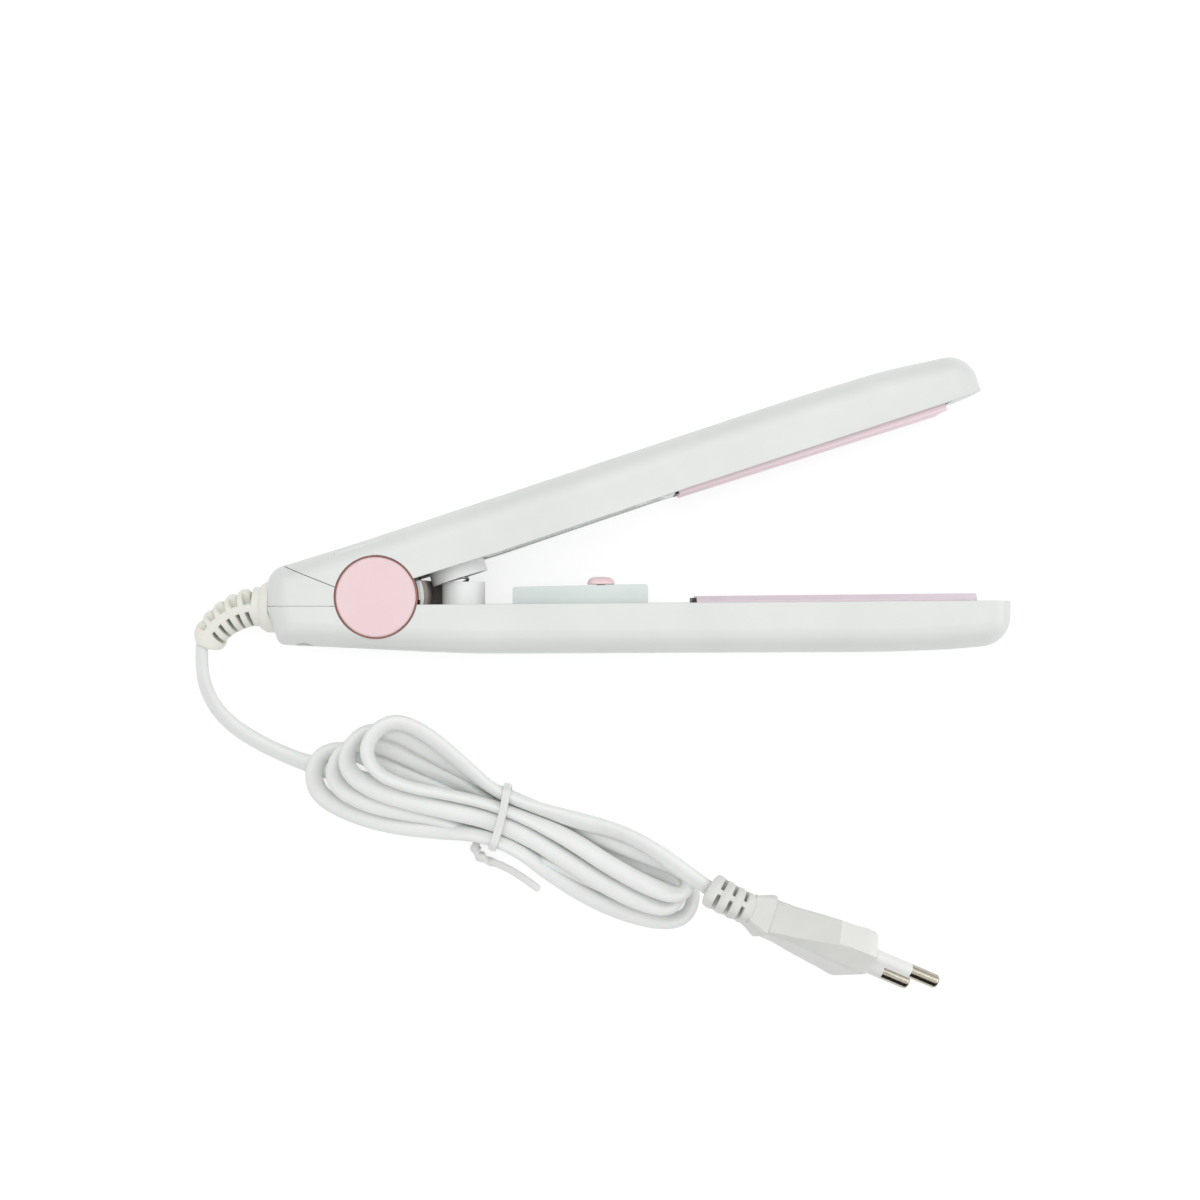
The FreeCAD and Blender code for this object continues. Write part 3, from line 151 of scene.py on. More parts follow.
# Out of the strain relief, down to the table and along to the winding, as (x, y, z, tilt)
LEAD_POINTS = (
    (-50.4, -12.4, 11.8, 66), (-51.3, -20.6, 9.8, 62), (-49.0, -29.6, 6.4, 50),
    (-43.8, -36.2, 4.0, 42), (-36.2, -41.3, 2.6, 40), (-29.0, -44.8, 2.3, 38),
)
HANK_POINTS = (
    # lowest run, right under the others
    (-60.3, -1.7, 2.2, 30), (-48.5, -1.1, 1.75, 0), (-34.4, 0.1, 1.75, 0), (-20.2, 0.6, 2.6, 50),
    (-6.1, 0.3, 3.2, 90), (6.0, 0.3, 3.2, 90), (20.2, 0.1, 2.0, 20), (34.3, -0.1, 1.75, 0),
    (45.4, 1.5, 1.75, 0), (53.0, 4.6, 2.2, 35), (57.8, 3.9, 2.9, 70), (58.2, -4.0, 2.9, 70),
    (52.0, -7.6, 2.2, 25), (40.4, -9.2, 1.75, 0), (28.2, -8.3, 2.2, 0), (17.1, -5.6, 4.2, 10),
    (6.0, -2.35, 7.8, 62), (-6.0, -2.4, 7.8, 70),
    # outermost loop at the left, on the table
    (-18.2, -6.2, 3.6, 5), (-30.3, -9.7, 1.75, 0), (-42.5, -10.7, 1.75, 0), (-52.6, -9.0, 3.2, 10),
    (-56.6, -3.0, 5.0, 40), (-55.7, 3.5, 5.2, 50), (-49.0, 6.5, 4.4, 25), (-38.4, 5.8, 2.8, 0),
    (-22.2, 4.8, 2.5, 30), (-6.1, 3.7, 3.2, 90), (6.0, 3.7, 3.2, 90),
    # hidden loop at the right
    (20.1, 2.7, 4.0, 40), (32.2, 1.8, 5.0, 0), (42.2, 1.6, 5.0, 0), (48.6, 0.8, 5.2, 40),
    (48.6, -3.8, 5.2, 40), (42.2, -3.6, 5.0, 0), (30.1, -3.0, 5.0, 0), (18.1, -2.2, 4.6, 50),
    (6.0, -3.1, 3.2, 90), (-6.1, -3.1, 3.2, 90),
    # second loop at the left
    (-18.1, -2.0, 4.8, 30), (-30.1, -4.7, 5.6, 0), (-39.6, -5.8, 6.4, 0), (-48.9, -4.1, 7.8, 25),
    (-51.3, 1.9, 9.2, 55), (-49.4, 8.3, 9.2, 55), (-42.0, 11.2, 7.8, 25), (-32.2, 10.7, 5.4, 0),
    (-18.2, 8.7, 3.6, 40), (-6.1, 7.1, 3.2, 90), (6.0, 7.1, 3.2, 90),
    # middle loop at the right
    (20.1, 6.6, 4.2, 30), (32.2, 6.6, 5.0, 0), (42.2, 6.5, 5.6, 0), (49.6, 5.9, 7.2, 35),
    (54.0, 2.2, 8.4, 70), (52.0, -3.0, 8.4, 50), (43.0, -3.9, 8.4, 5), (32.0, -2.8, 8.4, 0),
    (18.0, 0.2, 7.9, 5), (6.0, 2.2, 7.6, 0), (-6.0, 2.3, 7.6, 0),
    # third loop at the left
    (-18.0, 0.6, 8.4, 0), (-30.0, -0.9, 9.2, 0), (-39.4, -1.0, 10.2, 5), (-46.8, 1.4, 12.0, 35),
    (-49.0, 7.2, 13.6, 62), (-46.4, 13.9, 13.6, 62), (-39.2, 16.4, 12.4, 40),
    (-27.9, 14.9, 9.4, 20), (-16.1, 12.1, 5.8, 50), (-6.1, 10.5, 3.3, 90), (6.0, 10.5, 3.3, 90),
    # upper loop at the right
    (20.1, 9.0, 6.2, 35), (32.0, 8.9, 9.2, 25), (42.0, 9.3, 11.0, 25), (49.0, 9.3, 12.0, 45),
    (54.8, 7.4, 12.0, 72), (53.6, 1.9, 12.2, 60), (44.6, 1.4, 12.0, 5), (31.8, 3.0, 11.6, 0),
    (18.0, 6.0, 9.9, 20), (6.0, 6.75, 8.4, 70), (-6.0, 6.8, 8.4, 85),
    # top loop at the left, standing on edge
    (-17.9, 5.3, 10.4, 90), (-29.8, 3.3, 13.0, 90), (-38.8, 4.1, 15.2, 78), (-43.8, 8.9, 17.4, 64),
    (-43.1, 15.9, 18.2, 58), (-38.3, 20.4, 17.8, 48), (-29.6, 19.7, 15.8, 42),
    (-17.9, 15.2, 12.0, 45), (-6.0, 10.5, 8.4, 75), (6.0, 10.4, 8.3, 75),
    # up to the plug
    (18.9, 11.45, 10.2, 20), (30.8, 13.2, 13.2, 45), (41.5, 12.3, 16.2, 45), (50.2, 10.0, 18.4, 35),
    (59.4, 7.9, 19.8, 50),
)


def in_hank(along, across, up):
    """Point of the winding, in metres, from its distances along, across and up in mm."""
    return HANK_TURN @ (Vector((along, across, up)) * MM) + HANK_MIDDLE


def cord_curve():
    """The cord's own line, a quadratic spline with a tilt at each point."""
    points = [(Vector(row[:3]) * MM, row[3]) for row in LEAD_POINTS]
    points += [(in_hank(*row[:3]), row[3]) for row in HANK_POINTS]
    line = bpy.data.curves.new("mains_cord", "CURVE")
    line.dimensions = "3D"
    line.resolution_u = 8
    line.twist_mode = "Z_UP"
    spline = line.splines.new("NURBS")
    spline.points.add(len(points) - 1)
    for point, (place, tilt) in zip(spline.points, points):
        point.co = (*place, 1.0)
        point.tilt = math.radians(tilt)
    spline.order_u = 3
    spline.use_endpoint_u = True
    cord = bpy.data.objects.new("mains_cord", line)
    bpy.context.collection.objects.link(cord)
    return cord


def flat_cord():
    """Flat two-core cord: an oval section along its line. Gives the mesh and the line's points."""
    cord = cord_curve()
    line = bpy.data.meshes.new_from_object(cord)
    path = [vertex.co.copy() for vertex in line.vertices]
    clear_selection()
    bpy.ops.curve.primitive_nurbs_circle_add(radius=1)
    section = bpy.context.object
    section.data.dimensions = "2D"
    section.data.resolution_u = 4
    half_width, half_thickness = CORD_WIDTH / 2 * MM, CORD_THICKNESS / 2 * MM
    for point in section.data.splines[0].points:
        x, y, z, weight = point.co
        if abs(x) > 0.5 and abs(y) > 0.5:
            x, y = x * SECTION_CORNER, y * SECTION_CORNER
        point.co = (x * half_width, y * half_thickness, 0, weight)
    cord.data.bevel_mode = "OBJECT"
    cord.data.bevel_object = section
    cord.data.use_fill_caps = True
    clear_selection()
    cord.select_set(True)
    bpy.context.view_layer.objects.active = cord
    bpy.ops.object.convert(target="MESH")
    close_skin(cord)
    bpy.ops.object.shade_smooth()
    bpy.data.objects.remove(section)
    return cord, path


mains_cord, cord_path = flat_cord()
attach(mains_cord, ROOT)
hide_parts("cord_lead", "cord_hank")


# Strain reliefs: ribbed tubes with cuts that leave a web along the top and a floor at half height


SLOTTED_COLUMNS = 112
# A cut's walls lean over this far to each side of its half width, in mm
CUT_WALL = 0.12


def slotted(name, rows, stations, frame_at, reach_at, half_height_at, cuts, squareness):
    """Slotted relief along an axis. A cut is (station at the web, station at the rim, half width,
    side, distance of the web, height of the floor)."""
    low, high = stations

    def place(across, along):
        station = low + (high - low) * along
        middle, outward, up = frame_at(station)
        turn = 2 * math.pi * across
        cosine, sine = math.cos(turn), math.sin(turn)
        wide = reach_at(station, 1 if cosine >= 0 else -1)
        tall = half_height_at(station)
        if wide < 1e-6:
            return middle
        radius = ((abs(cosine) / wide) ** squareness
                  + (abs(sine) / tall) ** squareness) ** (-1 / squareness)
        full = radius
        for at_web, at_rim, half_width, side, web, floor in cuts:
            if side * cosine <= 0:
                continue
            share = min(1.0, max(0.0, (full * abs(cosine) - web) / max(0.1, wide - web)))
            off = abs(station - (at_web + (at_rim - at_web) * share))
            depth = 1 - eased(off, half_width - CUT_WALL, half_width + CUT_WALL)
            if depth > 0:
                cross = max(min(full, web / max(1e-6, abs(cosine))),
                            min(full, floor / max(1e-6, abs(sine))))
                radius = min(radius, full + (cross - full) * depth)
        return middle + (outward * (radius * cosine) + up * (radius * sine)) * MM

    return wrapped(name, SLOTTED_COLUMNS, rows, place)


# Bent relief at the handle. Stations are mm along its axis; its bend starts after the straight part

RELIEF_MOUTH = Vector((-30.5, -2.7, 14.0)) * MM
RELIEF_STRAIGHT = 3.4
RELIEF_BEND = 15.6
RELIEF_DROOP = math.radians(14.0)
RELIEF_WAY = Vector((-1, 0, 0))
RELIEF_DOWN = Vector((0, -math.cos(RELIEF_DROOP), -math.sin(RELIEF_DROOP)))
RELIEF_UP = RELIEF_WAY.cross(RELIEF_DOWN)


def on_bend(degrees):
    """Station at an angle of the bend."""
    return RELIEF_STRAIGHT + RELIEF_BEND * math.radians(degrees)


def bend_table(*rows):
    """Table of (angle of the bend, value) rows as (station, value) rows."""
    return tuple((on_bend(turn), value) for turn, value in rows)


def relief_frame(station):
    """Middle, outward way and upward way of the bent axis at a station."""
    turn = max(0.0, (station - RELIEF_STRAIGHT) / RELIEF_BEND)
    outward = RELIEF_WAY * math.sin(turn) - RELIEF_DOWN * math.cos(turn)
    straight = min(station, RELIEF_STRAIGHT)
    middle = RELIEF_MOUTH + (RELIEF_WAY * straight + RELIEF_DOWN * RELIEF_BEND) * MM
    return middle + outward * (RELIEF_BEND * MM), outward, RELIEF_UP


# Lobes on the outside of the bend: their angles, how far they stand out, half their breadth
# in degrees, their foot
LOBE_TURNS = (12.5, 24.4, 36.5, 48.6, 60.3)
LOBE_TIPS = (5.35, 5.05, 4.95, 4.95, 5.1)
LOBE_HALF = 6.05
LOBE_FOOT = 3.15
OUTER_END = bend_table((60.3, 5.1), (64.3, 4.9), (66.9, 4.6), (71.5, 3.9), (75.0, 3.4))
INNER_REACH = bend_table((0, 5.4), (8, 5.2), (20, 5.25), (32, 5.1), (46, 4.75), (58, 4.4),
                         (66, 4.7), (71, 4.3), (75, 3.7))
FLANGE = ((0.0, 7.5), (0.25, 7.45), (1.0, 7.0), (2.5, 6.3), (2.85, 5.75), (3.1, 5.5))
FLANGE_END = 3.1
# The end closes over its last few degrees
END_TURN = 75.0
END_ROUND = 5.0
# The collar behind the flange narrows to the lobes' foot between these angles
COLLAR_REACH = 5.5
COLLAR_TURNS = (3.8, 6.4)
# Half height behind the flange, which falls by 1 mm between these angles
START_HEIGHT = 5.4
FALLING_TURNS = (2, 70)


def bend_turn(station):
    """Angle of the bend at a station, in degrees."""
    return math.degrees((station - RELIEF_STRAIGHT) / RELIEF_BEND)


def closing_share(turn):
    """Share of its width that the relief still has as its end closes."""
    return math.sqrt(max(0.0, 1 - max(0.0, (turn - END_TURN + END_ROUND) / END_ROUND) ** 2.6))


def relief_reach(station, side):
    """How far the relief stands out from its axis, on the outside or inside of the bend."""
    if station < 0.02:
        return 0.0
    if station <= FLANGE_END:
        return read_off(FLANGE, station)
    turn = bend_turn(station)
    if side < 0:
        return read_off(INNER_REACH, station) * closing_share(turn)
    reach = COLLAR_REACH - (COLLAR_REACH - LOBE_FOOT) * eased(turn, *COLLAR_TURNS)
    for middle, tip in zip(LOBE_TURNS, LOBE_TIPS):
        off = abs(turn - middle) / LOBE_HALF
        if off < 1:
            reach = max(reach, LOBE_FOOT + (tip - LOBE_FOOT) * (1 - off ** 2.2) ** 0.5)
    if turn > LOBE_TURNS[-1]:
        reach = read_off(OUTER_END, station)
    return reach * closing_share(turn)


def relief_height(station):
    """Half the relief's height across the plane of its bend."""
    if station <= FLANGE_END:
        return max(0.01, read_off(FLANGE, station))
    turn = bend_turn(station)
    return max(0.01, (START_HEIGHT - eased(turn, *FALLING_TURNS)) * closing_share(turn))


# Cuts between the lobes, as (angle, half width, distance of the web) outside
OUTER_CUTS = tuple((on_bend(turn), on_bend(turn), half, 1, web, 1.9) for turn, half, web in (
    (9.8, 0.74, 2.0), (21.6, 0.76, 2.1), (33.2, 0.78, 2.2), (44.4, 0.8, 2.3), (55.3, 0.8, 2.4)))
# and as (angle at the web, angle at the rim) inside, where they lean
INNER_CUTS = tuple((on_bend(at_web), on_bend(at_rim), 0.46, -1, 0.15, 1.0) for at_web, at_rim in (
    (10.8, 7.6), (21.0, 20.8), (32.4, 33.6), (43.4, 46.6), (54.2, 60.0)))

strain_relief = slotted("strain_relief_slotted", 210, (0.0, on_bend(END_TURN)), relief_frame,
                        relief_reach, relief_height, OUTER_CUTS + INNER_CUTS, 2.3)
# The flange's back follows the handle's end wall, which leans away below this height
WALL_LEAN_Y = -4.03 * MM
WALL_LEAN = 0.35
FLANGE_BACK = 0.7 * MM
WALL_SLACK = 0.12 * MM
for vertex in strain_relief.data.vertices:
    if vertex.co.x > RELIEF_MOUTH.x - FLANGE_BACK:
        vertex.co.x += max(0.0, WALL_LEAN * (WALL_LEAN_Y - vertex.co.y) - WALL_SLACK)
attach(strain_relief, ROOT)
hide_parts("strain_relief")


# Plug, drawn with its face at x = 0 and its wide side upright, then seated

PLUG_FACE = Vector((135.4, -101.0, 14.85)) * MM
PLUG_SEAT = (Matrix.Rotation(math.radians(-24.2), 3, "Z")
             @ Matrix.Rotation(math.radians(12.5), 3, "Y")
             @ Matrix.Rotation(math.radians(-16.5), 3, "X"))
PLUG_LENGTH = 36.6


def seated(x, y, z):
    """Point of the plug, in metres, from its own mm."""
    return PLUG_SEAT @ (Vector((x, y, z)) * MM) + PLUG_FACE


# Sections along the plug, as (x, half thickness, half width, depth of the roof on the narrow
# sides, place of its ridge as a share of the half thickness)
PLUG_SECTIONS = (
    (-37.0, 4.15, 4.0, 0.0, 0.0), (-36.2, 4.35, 4.1, 0.0, 0.0), (-35.0, 4.75, 4.2, 0.0, 0.0),
    (-33.8, 5.3, 4.7, 0.0, 0.0), (-32.8, 5.75, 5.1, 0.0, 0.0), (-31.9, 5.95, 5.4, 0.0, -0.3),
    (-31.3, 5.75, 5.5, 0.1, -0.6), (-31.0, 5.1, 5.2, 0.3, -0.9), (-25.0, 5.0, 7.5, 0.9, -0.75),
    (-19.0, 5.5, 10.0, 1.6, -0.5), (-13.0, 5.9, 12.2, 2.6, -0.27), (-9.0, 6.05, 13.3, 3.0, -0.2),
    (-5.4, 6.3, 14.5, 3.0, -0.2), (-3.3, 6.3, 14.5, 2.8, -0.2), (-2.3, 5.8, 14.1, 2.6, -0.2),
    (-1.9, 5.1, 13.4, 2.4, -0.2),
)
# Quarter of a section, as (share of the way from the ridge to the flank, drop in mm, share of
# the roof)
PLUG_CORNERS = ((0.0, 0.0, 0.0), (0.05, 0.05, 0.08), (0.8, 0.3, 1.0), (0.94, 0.9, 1.0),
                (1.0, 2.0, 1.0), (1.0, 4.6, 1.0))
# The narrow sides stay at least this share of the half width apart
PLUG_FLANK = 0.3
# The polished front part lies beyond this x and this y
PLUG_SPLIT = (-13.0, -1.2)


def plug_surface(across, along):
    """Point of the plug's skin; the ends close at the section's middle."""
    last = len(PLUG_SECTIONS) - 1
    row = round(along * (last + 2)) - 1
    x, thick, wide, roof, ridge = PLUG_SECTIONS[min(last, max(0, row))]
    corner_count = len(PLUG_CORNERS)
    step = round(across * 4 * corner_count) % (4 * corner_count)
    if row < 0 or row > last:
        return seated(x, 0, 0)
    quarter, index = divmod(step, corner_count)
    if quarter % 2:
        index = corner_count - 1 - index
    share, drop, roof_share = PLUG_CORNERS[index]
    flank = thick if quarter in (0, 1) else -thick
    y = ridge * thick + (flank - ridge * thick) * share
    z = max(PLUG_FLANK * wide, wide - drop - roof * roof_share) * (1 if quarter in (0, 3) else -1)
    return seated(x, y, z)


plug = wrapped("plug_moulded", 4 * len(PLUG_CORNERS), len(PLUG_SECTIONS) + 1, plug_surface, 24)
finished(plug, "BEVEL", width=0.35 * MM, segments=2, limit_method="ANGLE",
         angle_limit=math.radians(28))
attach(plug, ROOT)
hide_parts("plug_body")


# The pins' sleeves start inside the plug's rounded front
PIN_AT = 9.3
ROOT_RADIUS = 2.02
ROOT_REACH = (-3.6, 0.2)
roots = [rod("sleeve_root_" + side, ROOT_RADIUS, *ROOT_REACH,
             lambda x, y, z, at=at: seated(x, y, z + at))
         for side, at in (("near", PIN_AT), ("far", -PIN_AT))]


# Relief of the plug: a short bend from the end of the winding to the plug's collar

TAIL_START = in_hank(59.4, 7.9, 19.8)
TAIL_TURN = Matrix.Rotation(math.radians(-9.0), 3, "Z")
TAIL_RISE = 0.3
TAIL_WAY = (HANK_TURN @ TAIL_TURN @ Vector((1, 0, 0)) + Vector((0, 0, TAIL_RISE))).normalized()
TAIL_END = seated(-PLUG_LENGTH, 0, 0)
TAIL_END_WAY = PLUG_SEAT @ Vector((1, 0, 0))
TAIL_SPAN = (TAIL_END - TAIL_START).length / MM


def tail_frame(station):
    """Middle, side and upward way of the plug relief's axis at a station."""
    share = station / TAIL_SPAN
    pull = TAIL_SPAN * MM
    middle = (TAIL_START * (1 - share) ** 2 * (1 + 2 * share)
              + TAIL_END * share ** 2 * (3 - 2 * share)
              + TAIL_WAY * (pull * share * (1 - share) ** 2)
              - TAIL_END_WAY * (pull * share ** 2 * (1 - share)))
    way = TAIL_WAY.lerp(TAIL_END_WAY, share).normalized()
    across = (PLUG_SEAT @ Vector((0, 1, 0))).cross(way)
    up = across if across.z > 0 else -across
    side = up.cross(way).normalized()
    return middle, side, up.normalized()


# Half width at the cord's end, how much it loses up to the plug, the lobes' height, spacing and
# first place, and the length of the rounded end
TAIL_HALF = 4.75
TAIL_TAPER = 0.6
TAIL_LOBE = 0.12
TAIL_LOBE_STEP = 3.1
TAIL_LOBE_START = 2.05
TAIL_ROUND = 0.8


def tail_reach(station, side):
    """Half the width of the plug's relief, with its lobes; it closes at the cord."""
    if station < 0.02 or station > TAIL_SPAN - 0.02:
        return 0.0
    lobe = TAIL_LOBE * math.cos(2 * math.pi * (station - TAIL_LOBE_START) / TAIL_LOBE_STEP)
    tapering = TAIL_HALF - TAIL_TAPER * station / TAIL_SPAN
    closing = math.sqrt(max(0.02, 1 - max(0.0, 1 - station / TAIL_ROUND) ** 2))
    return (tapering + lobe * eased(TAIL_SPAN - station, 0.5, 2.0)) * closing


TAIL_CUTS = tuple((station, station, 0.35, side, 0.85, 1.3)
                  for side in (-1, 1) for station in (3.6, 6.7, 9.8))
plug_relief = slotted("plug_relief_slotted", 110, (0.0, TAIL_SPAN), tail_frame, tail_reach,
                      lambda station: max(0.01, tail_reach(station, 1)), TAIL_CUTS, 3.0)
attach(plug_relief, ROOT)
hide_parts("plug_relief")


# Twist tie: a flat strip with a wire in it, round the winding, and its twisted end

TIE_CORNERS = ((-5.2, 0.3), (13.4, 0.3), (13.2, 11.7), (-5.0, 11.2))
TIE_ROUND = 2.4
TIE_STRIP = ((-1.15, 0.0), (-1.06, 0.2), (-0.4, 0.24), (0.0, 0.4), (0.4, 0.24), (1.06, 0.2),
             (1.15, 0.0), (1.06, -0.2), (0.0, -0.24), (-1.06, -0.2))
# The loop leans back by this much per mm across the winding, and bows forward by this much
TIE_SLANT = 0.12
TIE_BOW = 0.5


def tie_round(share):
    """Place and outward way on the rounded outline that the tie follows, in (across, up)."""
    corner, within = divmod(share * 4, 1)
    corner = int(corner) % 4
    before = Vector(TIE_CORNERS[corner - 1])
    here = Vector(TIE_CORNERS[corner])
    after = Vector(TIE_CORNERS[(corner + 1) % 4])
    back = (before - here).normalized()
    ahead = (after - here).normalized()
    if within < 0.5:
        angle = within * math.pi
        middle = here + (back + ahead) * TIE_ROUND
        outward = -(ahead * math.cos(angle) + back * math.sin(angle))
        return middle + outward * TIE_ROUND, outward
    start = here + ahead * TIE_ROUND
    end = after - ahead * TIE_ROUND
    return start.lerp(end, (within - 0.5) * 2), Vector((ahead.y, -ahead.x))


def tie_loop(across, along):
    """Point of the tie's loop, which leans along the winding."""
    width, rise = TIE_STRIP[round(across * len(TIE_STRIP)) % len(TIE_STRIP)]
    (side, up), outward = tie_round(along % 1)
    slant = (side + 4.7) * TIE_SLANT
    bow = TIE_BOW * math.sin((side + 5) / 18 * math.pi)
    lean = bow - slant - 0.9
    return in_hank(lean + width, side + outward.x * rise, up + outward.y * rise)


TIE_TAIL = ((-5.6, -3.4, 1.8), (-5.7, -5.4, 2.2), (-5.2, -7.3, 2.3), (-3.6, -8.7, 2.2),
            (-1.0, -9.2, 1.8), (2.4, -9.2, 1.4), (6.2, -9.5, 1.2), (10.2, -10.3, 1.1),
            (13.4, -11.1, 1.1), (16.0, -11.9, 1.1))
# The tail's twist, where it comes undone, and where its tip starts to close, as shares of it
TIE_TWIST = math.radians(1260)
TIE_UNDONE = (0.42, 0.54)
TIE_TIP = 0.955
# Half width and half thickness of its flat end, and what the twisted part adds to them
TIE_FLAT = (1.05, 0.34)
TIE_TWISTED = (0.6, 0.7)


def on_tail(share):
    """Place and way on the tie's tail, smooth through its points."""
    position = share * (len(TIE_TAIL) - 1)
    index = min(len(TIE_TAIL) - 2, int(position))
    within = position - index
    first, second, third, fourth = [Vector(TIE_TAIL[min(len(TIE_TAIL) - 1, max(0, index + step))])
                                    for step in (-1, 0, 1, 2)]
    slope = third - first
    curve = first * 2 - second * 5 + third * 4 - fourth
    twist = second * 3 - third * 3 + fourth - first
    place = (second * 2 + slope * within + curve * within ** 2 + twist * within ** 3) / 2
    way = (slope + curve * (2 * within) + twist * (3 * within ** 2)) / 2
    return place, way.normalized()


def tie_tail(across, along):
    """Point of the tie's tail: two ends twisted together, then one flat end."""
    place, way = on_tail(along)
    side = way.cross(Vector((0, 0, 1))).normalized()
    up = side.cross(way)
    twisted = 1 - eased(along, *TIE_UNDONE)
    turn = TIE_TWIST * (0.5 - min(along, 0.5))
    angle = 2 * math.pi * across
    wide, thick = [flat + more * twisted for flat, more in zip(TIE_FLAT, TIE_TWISTED)]
    ending = math.sqrt(max(0.0, 1 - max(0.0, (along - TIE_TIP) / (1 - TIE_TIP)) ** 2))
    if along in (0.0, 1.0):
        ending = 0.0
    x, y = wide * ending * math.cos(angle), thick * ending * math.sin(angle)
    x, y = x * math.cos(turn) - y * math.sin(turn), x * math.sin(turn) + y * math.cos(turn)
    return in_hank(*(place + side * x + up * y))


tie = wrapped("twist_tie_loop", len(TIE_STRIP), 96, tie_loop, 50)
tail = wrapped("twist_tie_tail", 20, 160, tie_tail, 50)
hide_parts("twist_tie")
for strip in (tie, tail):
    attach(strip, ROOT)

tuple(cord_path[0])
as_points(cord_path)


# Thin reddish-brown rings in the gaps round the caps are painted shadow, a tongue closes the
# housing's seam on each side, and the shroud's lip, pale with painted light, fills most of the slit
# behind the front cap's rim

RING_GAP = (11.08, 11.42)
RING_LEVELS = (("back", (0.5, 1.8)), ("front", (26.2, 27.5)))
# The tongue's middle and size, in mm
TONGUE_PLACE = (-19.5, -2.55)
TONGUE_SIZE = (14, 0.09, 1.8)
LIP_REACH = (11.52, 11.97)
LIP_LEVELS = (23.6, 24.45)
LIP_TURNS = (-4.0, 22.0)
# Share of the lip's length at each end that closes it
LIP_CLOSING = 0.03


def round_bar(reach, levels, turns, closing=0.0):
    """Bar of square section bent round the hinge, between two radii, heights and angles."""

    def place(across, along):
        radial, high = ((0, 0), (1, 0), (1, 1), (0, 1))[round(across * 4) % 4]
        if closing and along in (0.0, 1.0):
            radial = high = 0.5
        share = min(1.0, max(0.0, (along - closing) / (1 - 2 * closing)))
        turn = math.radians(turns[0] + (turns[1] - turns[0]) * share)
        radius = reach[0] + (reach[1] - reach[0]) * radial
        height = levels[0] + (levels[1] - levels[0]) * high
        return Vector((radius * math.cos(turn), radius * math.sin(turn), height)) * MM

    return place


# Painted shadow: thin reddish-brown rings in the gaps round the caps
rings = [wrapped("cap_painted_shadow_ring_" + side, 4, 144, round_bar(RING_GAP, levels, (0.0, 360.0)), 50)
         for side, levels in RING_LEVELS]
for piece in rings:
    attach(piece, ROOT)

tongues = []
for side, level in (("back", 1.0), ("front", 27.0)):
    clear_selection()
    bpy.ops.mesh.primitive_cube_add(size=MM, location=(0, 0, 0))
    tongue = bpy.context.object
    tongue.name = tongue.data.name = "seam_tongue_" + side
    middle = (*TONGUE_PLACE, level)
    for vertex in tongue.data.vertices:
        vertex.co = [part * size + at * MM
                     for part, size, at in zip(vertex.co, TONGUE_SIZE, middle)]
    tongues.append(tongue)
for piece in tongues:
    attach(piece, ROOT)

lip = wrapped("shroud_lip", 4, 33, round_bar(LIP_REACH, LIP_LEVELS, LIP_TURNS, LIP_CLOSING), 50)
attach(lip, ROOT)

# Caps over the rear screws, sunk a little below the arm's back: radius, and from where to where
SCREW_X = -20.0
SCREW_COVER = (2.25, -12.25, -10.6)
caps = [rod("screw_cover_" + side, *SCREW_COVER,
            lambda x, y, z, at=at: Vector((y + SCREW_X, x, z + at)) * MM)
        for side, at in (("back", 5.7), ("front", 22.3))]


# Switch knob: a low dome with a flat crown, on the neck that goes into the housing

KNOB_MIDDLE = Vector((61.8, 3.5, 14.0))
KNOB_HALF = (3.85, 4.5)
NECK_HALF = 2.0
# Rows from the crown down to the foot of the neck, as (share of the half length, height)
KNOB_ROWS = ((0.0, 2.15), (0.3, 2.15), (0.55, 2.1), (0.7, 1.95), (0.82, 1.66), (0.91, 1.24),
             (0.97, 0.76), (1.0, 0.36), (0.99, 0.12), (0.93, 0.03), (0.5, 0.05), (0.31, 0.03),
             (0.31, -1.6), (0.0, -1.6))
NECK_ROW = 11


def knob_surface(across, along):
    """Point of the knob: rounded-rectangle rings from its crown down to its neck's foot."""
    row = round(along * (len(KNOB_ROWS) - 1))
    share, height = KNOB_ROWS[row]
    turn = 2 * math.pi * across
    cosine, sine = math.cos(turn), math.sin(turn)
    square = (abs(cosine) ** 4 + abs(sine) ** 4) ** -0.25
    half_long, half_wide = KNOB_HALF[0] * share, KNOB_HALF[1] * share
    if row >= NECK_ROW:
        half_wide = NECK_HALF if share else 0.0
    offset = Vector((half_long * cosine * square, height, half_wide * sine * square))
    return (KNOB_MIDDLE + offset) * MM


knob = wrapped("switch_knob_domed", 64, len(KNOB_ROWS) - 1, knob_surface, 50)
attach(knob, "knob")
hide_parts("switch_knob")


# Return spring: the wound wire itself, copied from its part

spring_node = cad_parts["return_spring"]
spring = spring_node.copy()
spring.data = spring_node.data.copy()
spring.name = spring.data.name = "return_spring_wound"
for key in list(spring.keys()):
    del spring[key]
bpy.context.collection.objects.link(spring)
close_skin(spring)
bpy.ops.object.shade_smooth()
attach(spring, ROOT)
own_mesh(spring)
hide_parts("return_spring")


# Materials


def linear(hex_colour):
    """Linear RGBA of an sRGB hex colour."""
    parts = [int(hex_colour[i:i + 2], 16) / 255 for i in (1, 3, 5)]
    return (*[c / 12.92 if c <= 0.04045 else ((c + 0.055) / 1.055) ** 2.4 for c in parts], 1.0)


def add(owner, kind, settings, links=()):
    """Adds one node to a material or the world. Links are (its socket, other node, its output)."""
    node = owner.node_tree.nodes.new("ShaderNode" + kind)
    for key, value in settings.items():
        if isinstance(key, str) and hasattr(node, key):
            setattr(node, key, value)
        else:
            node.inputs[key].default_value = value
    for socket, other, output in links:
        owner.node_tree.links.new(other.outputs[output], node.inputs[socket])
    return node


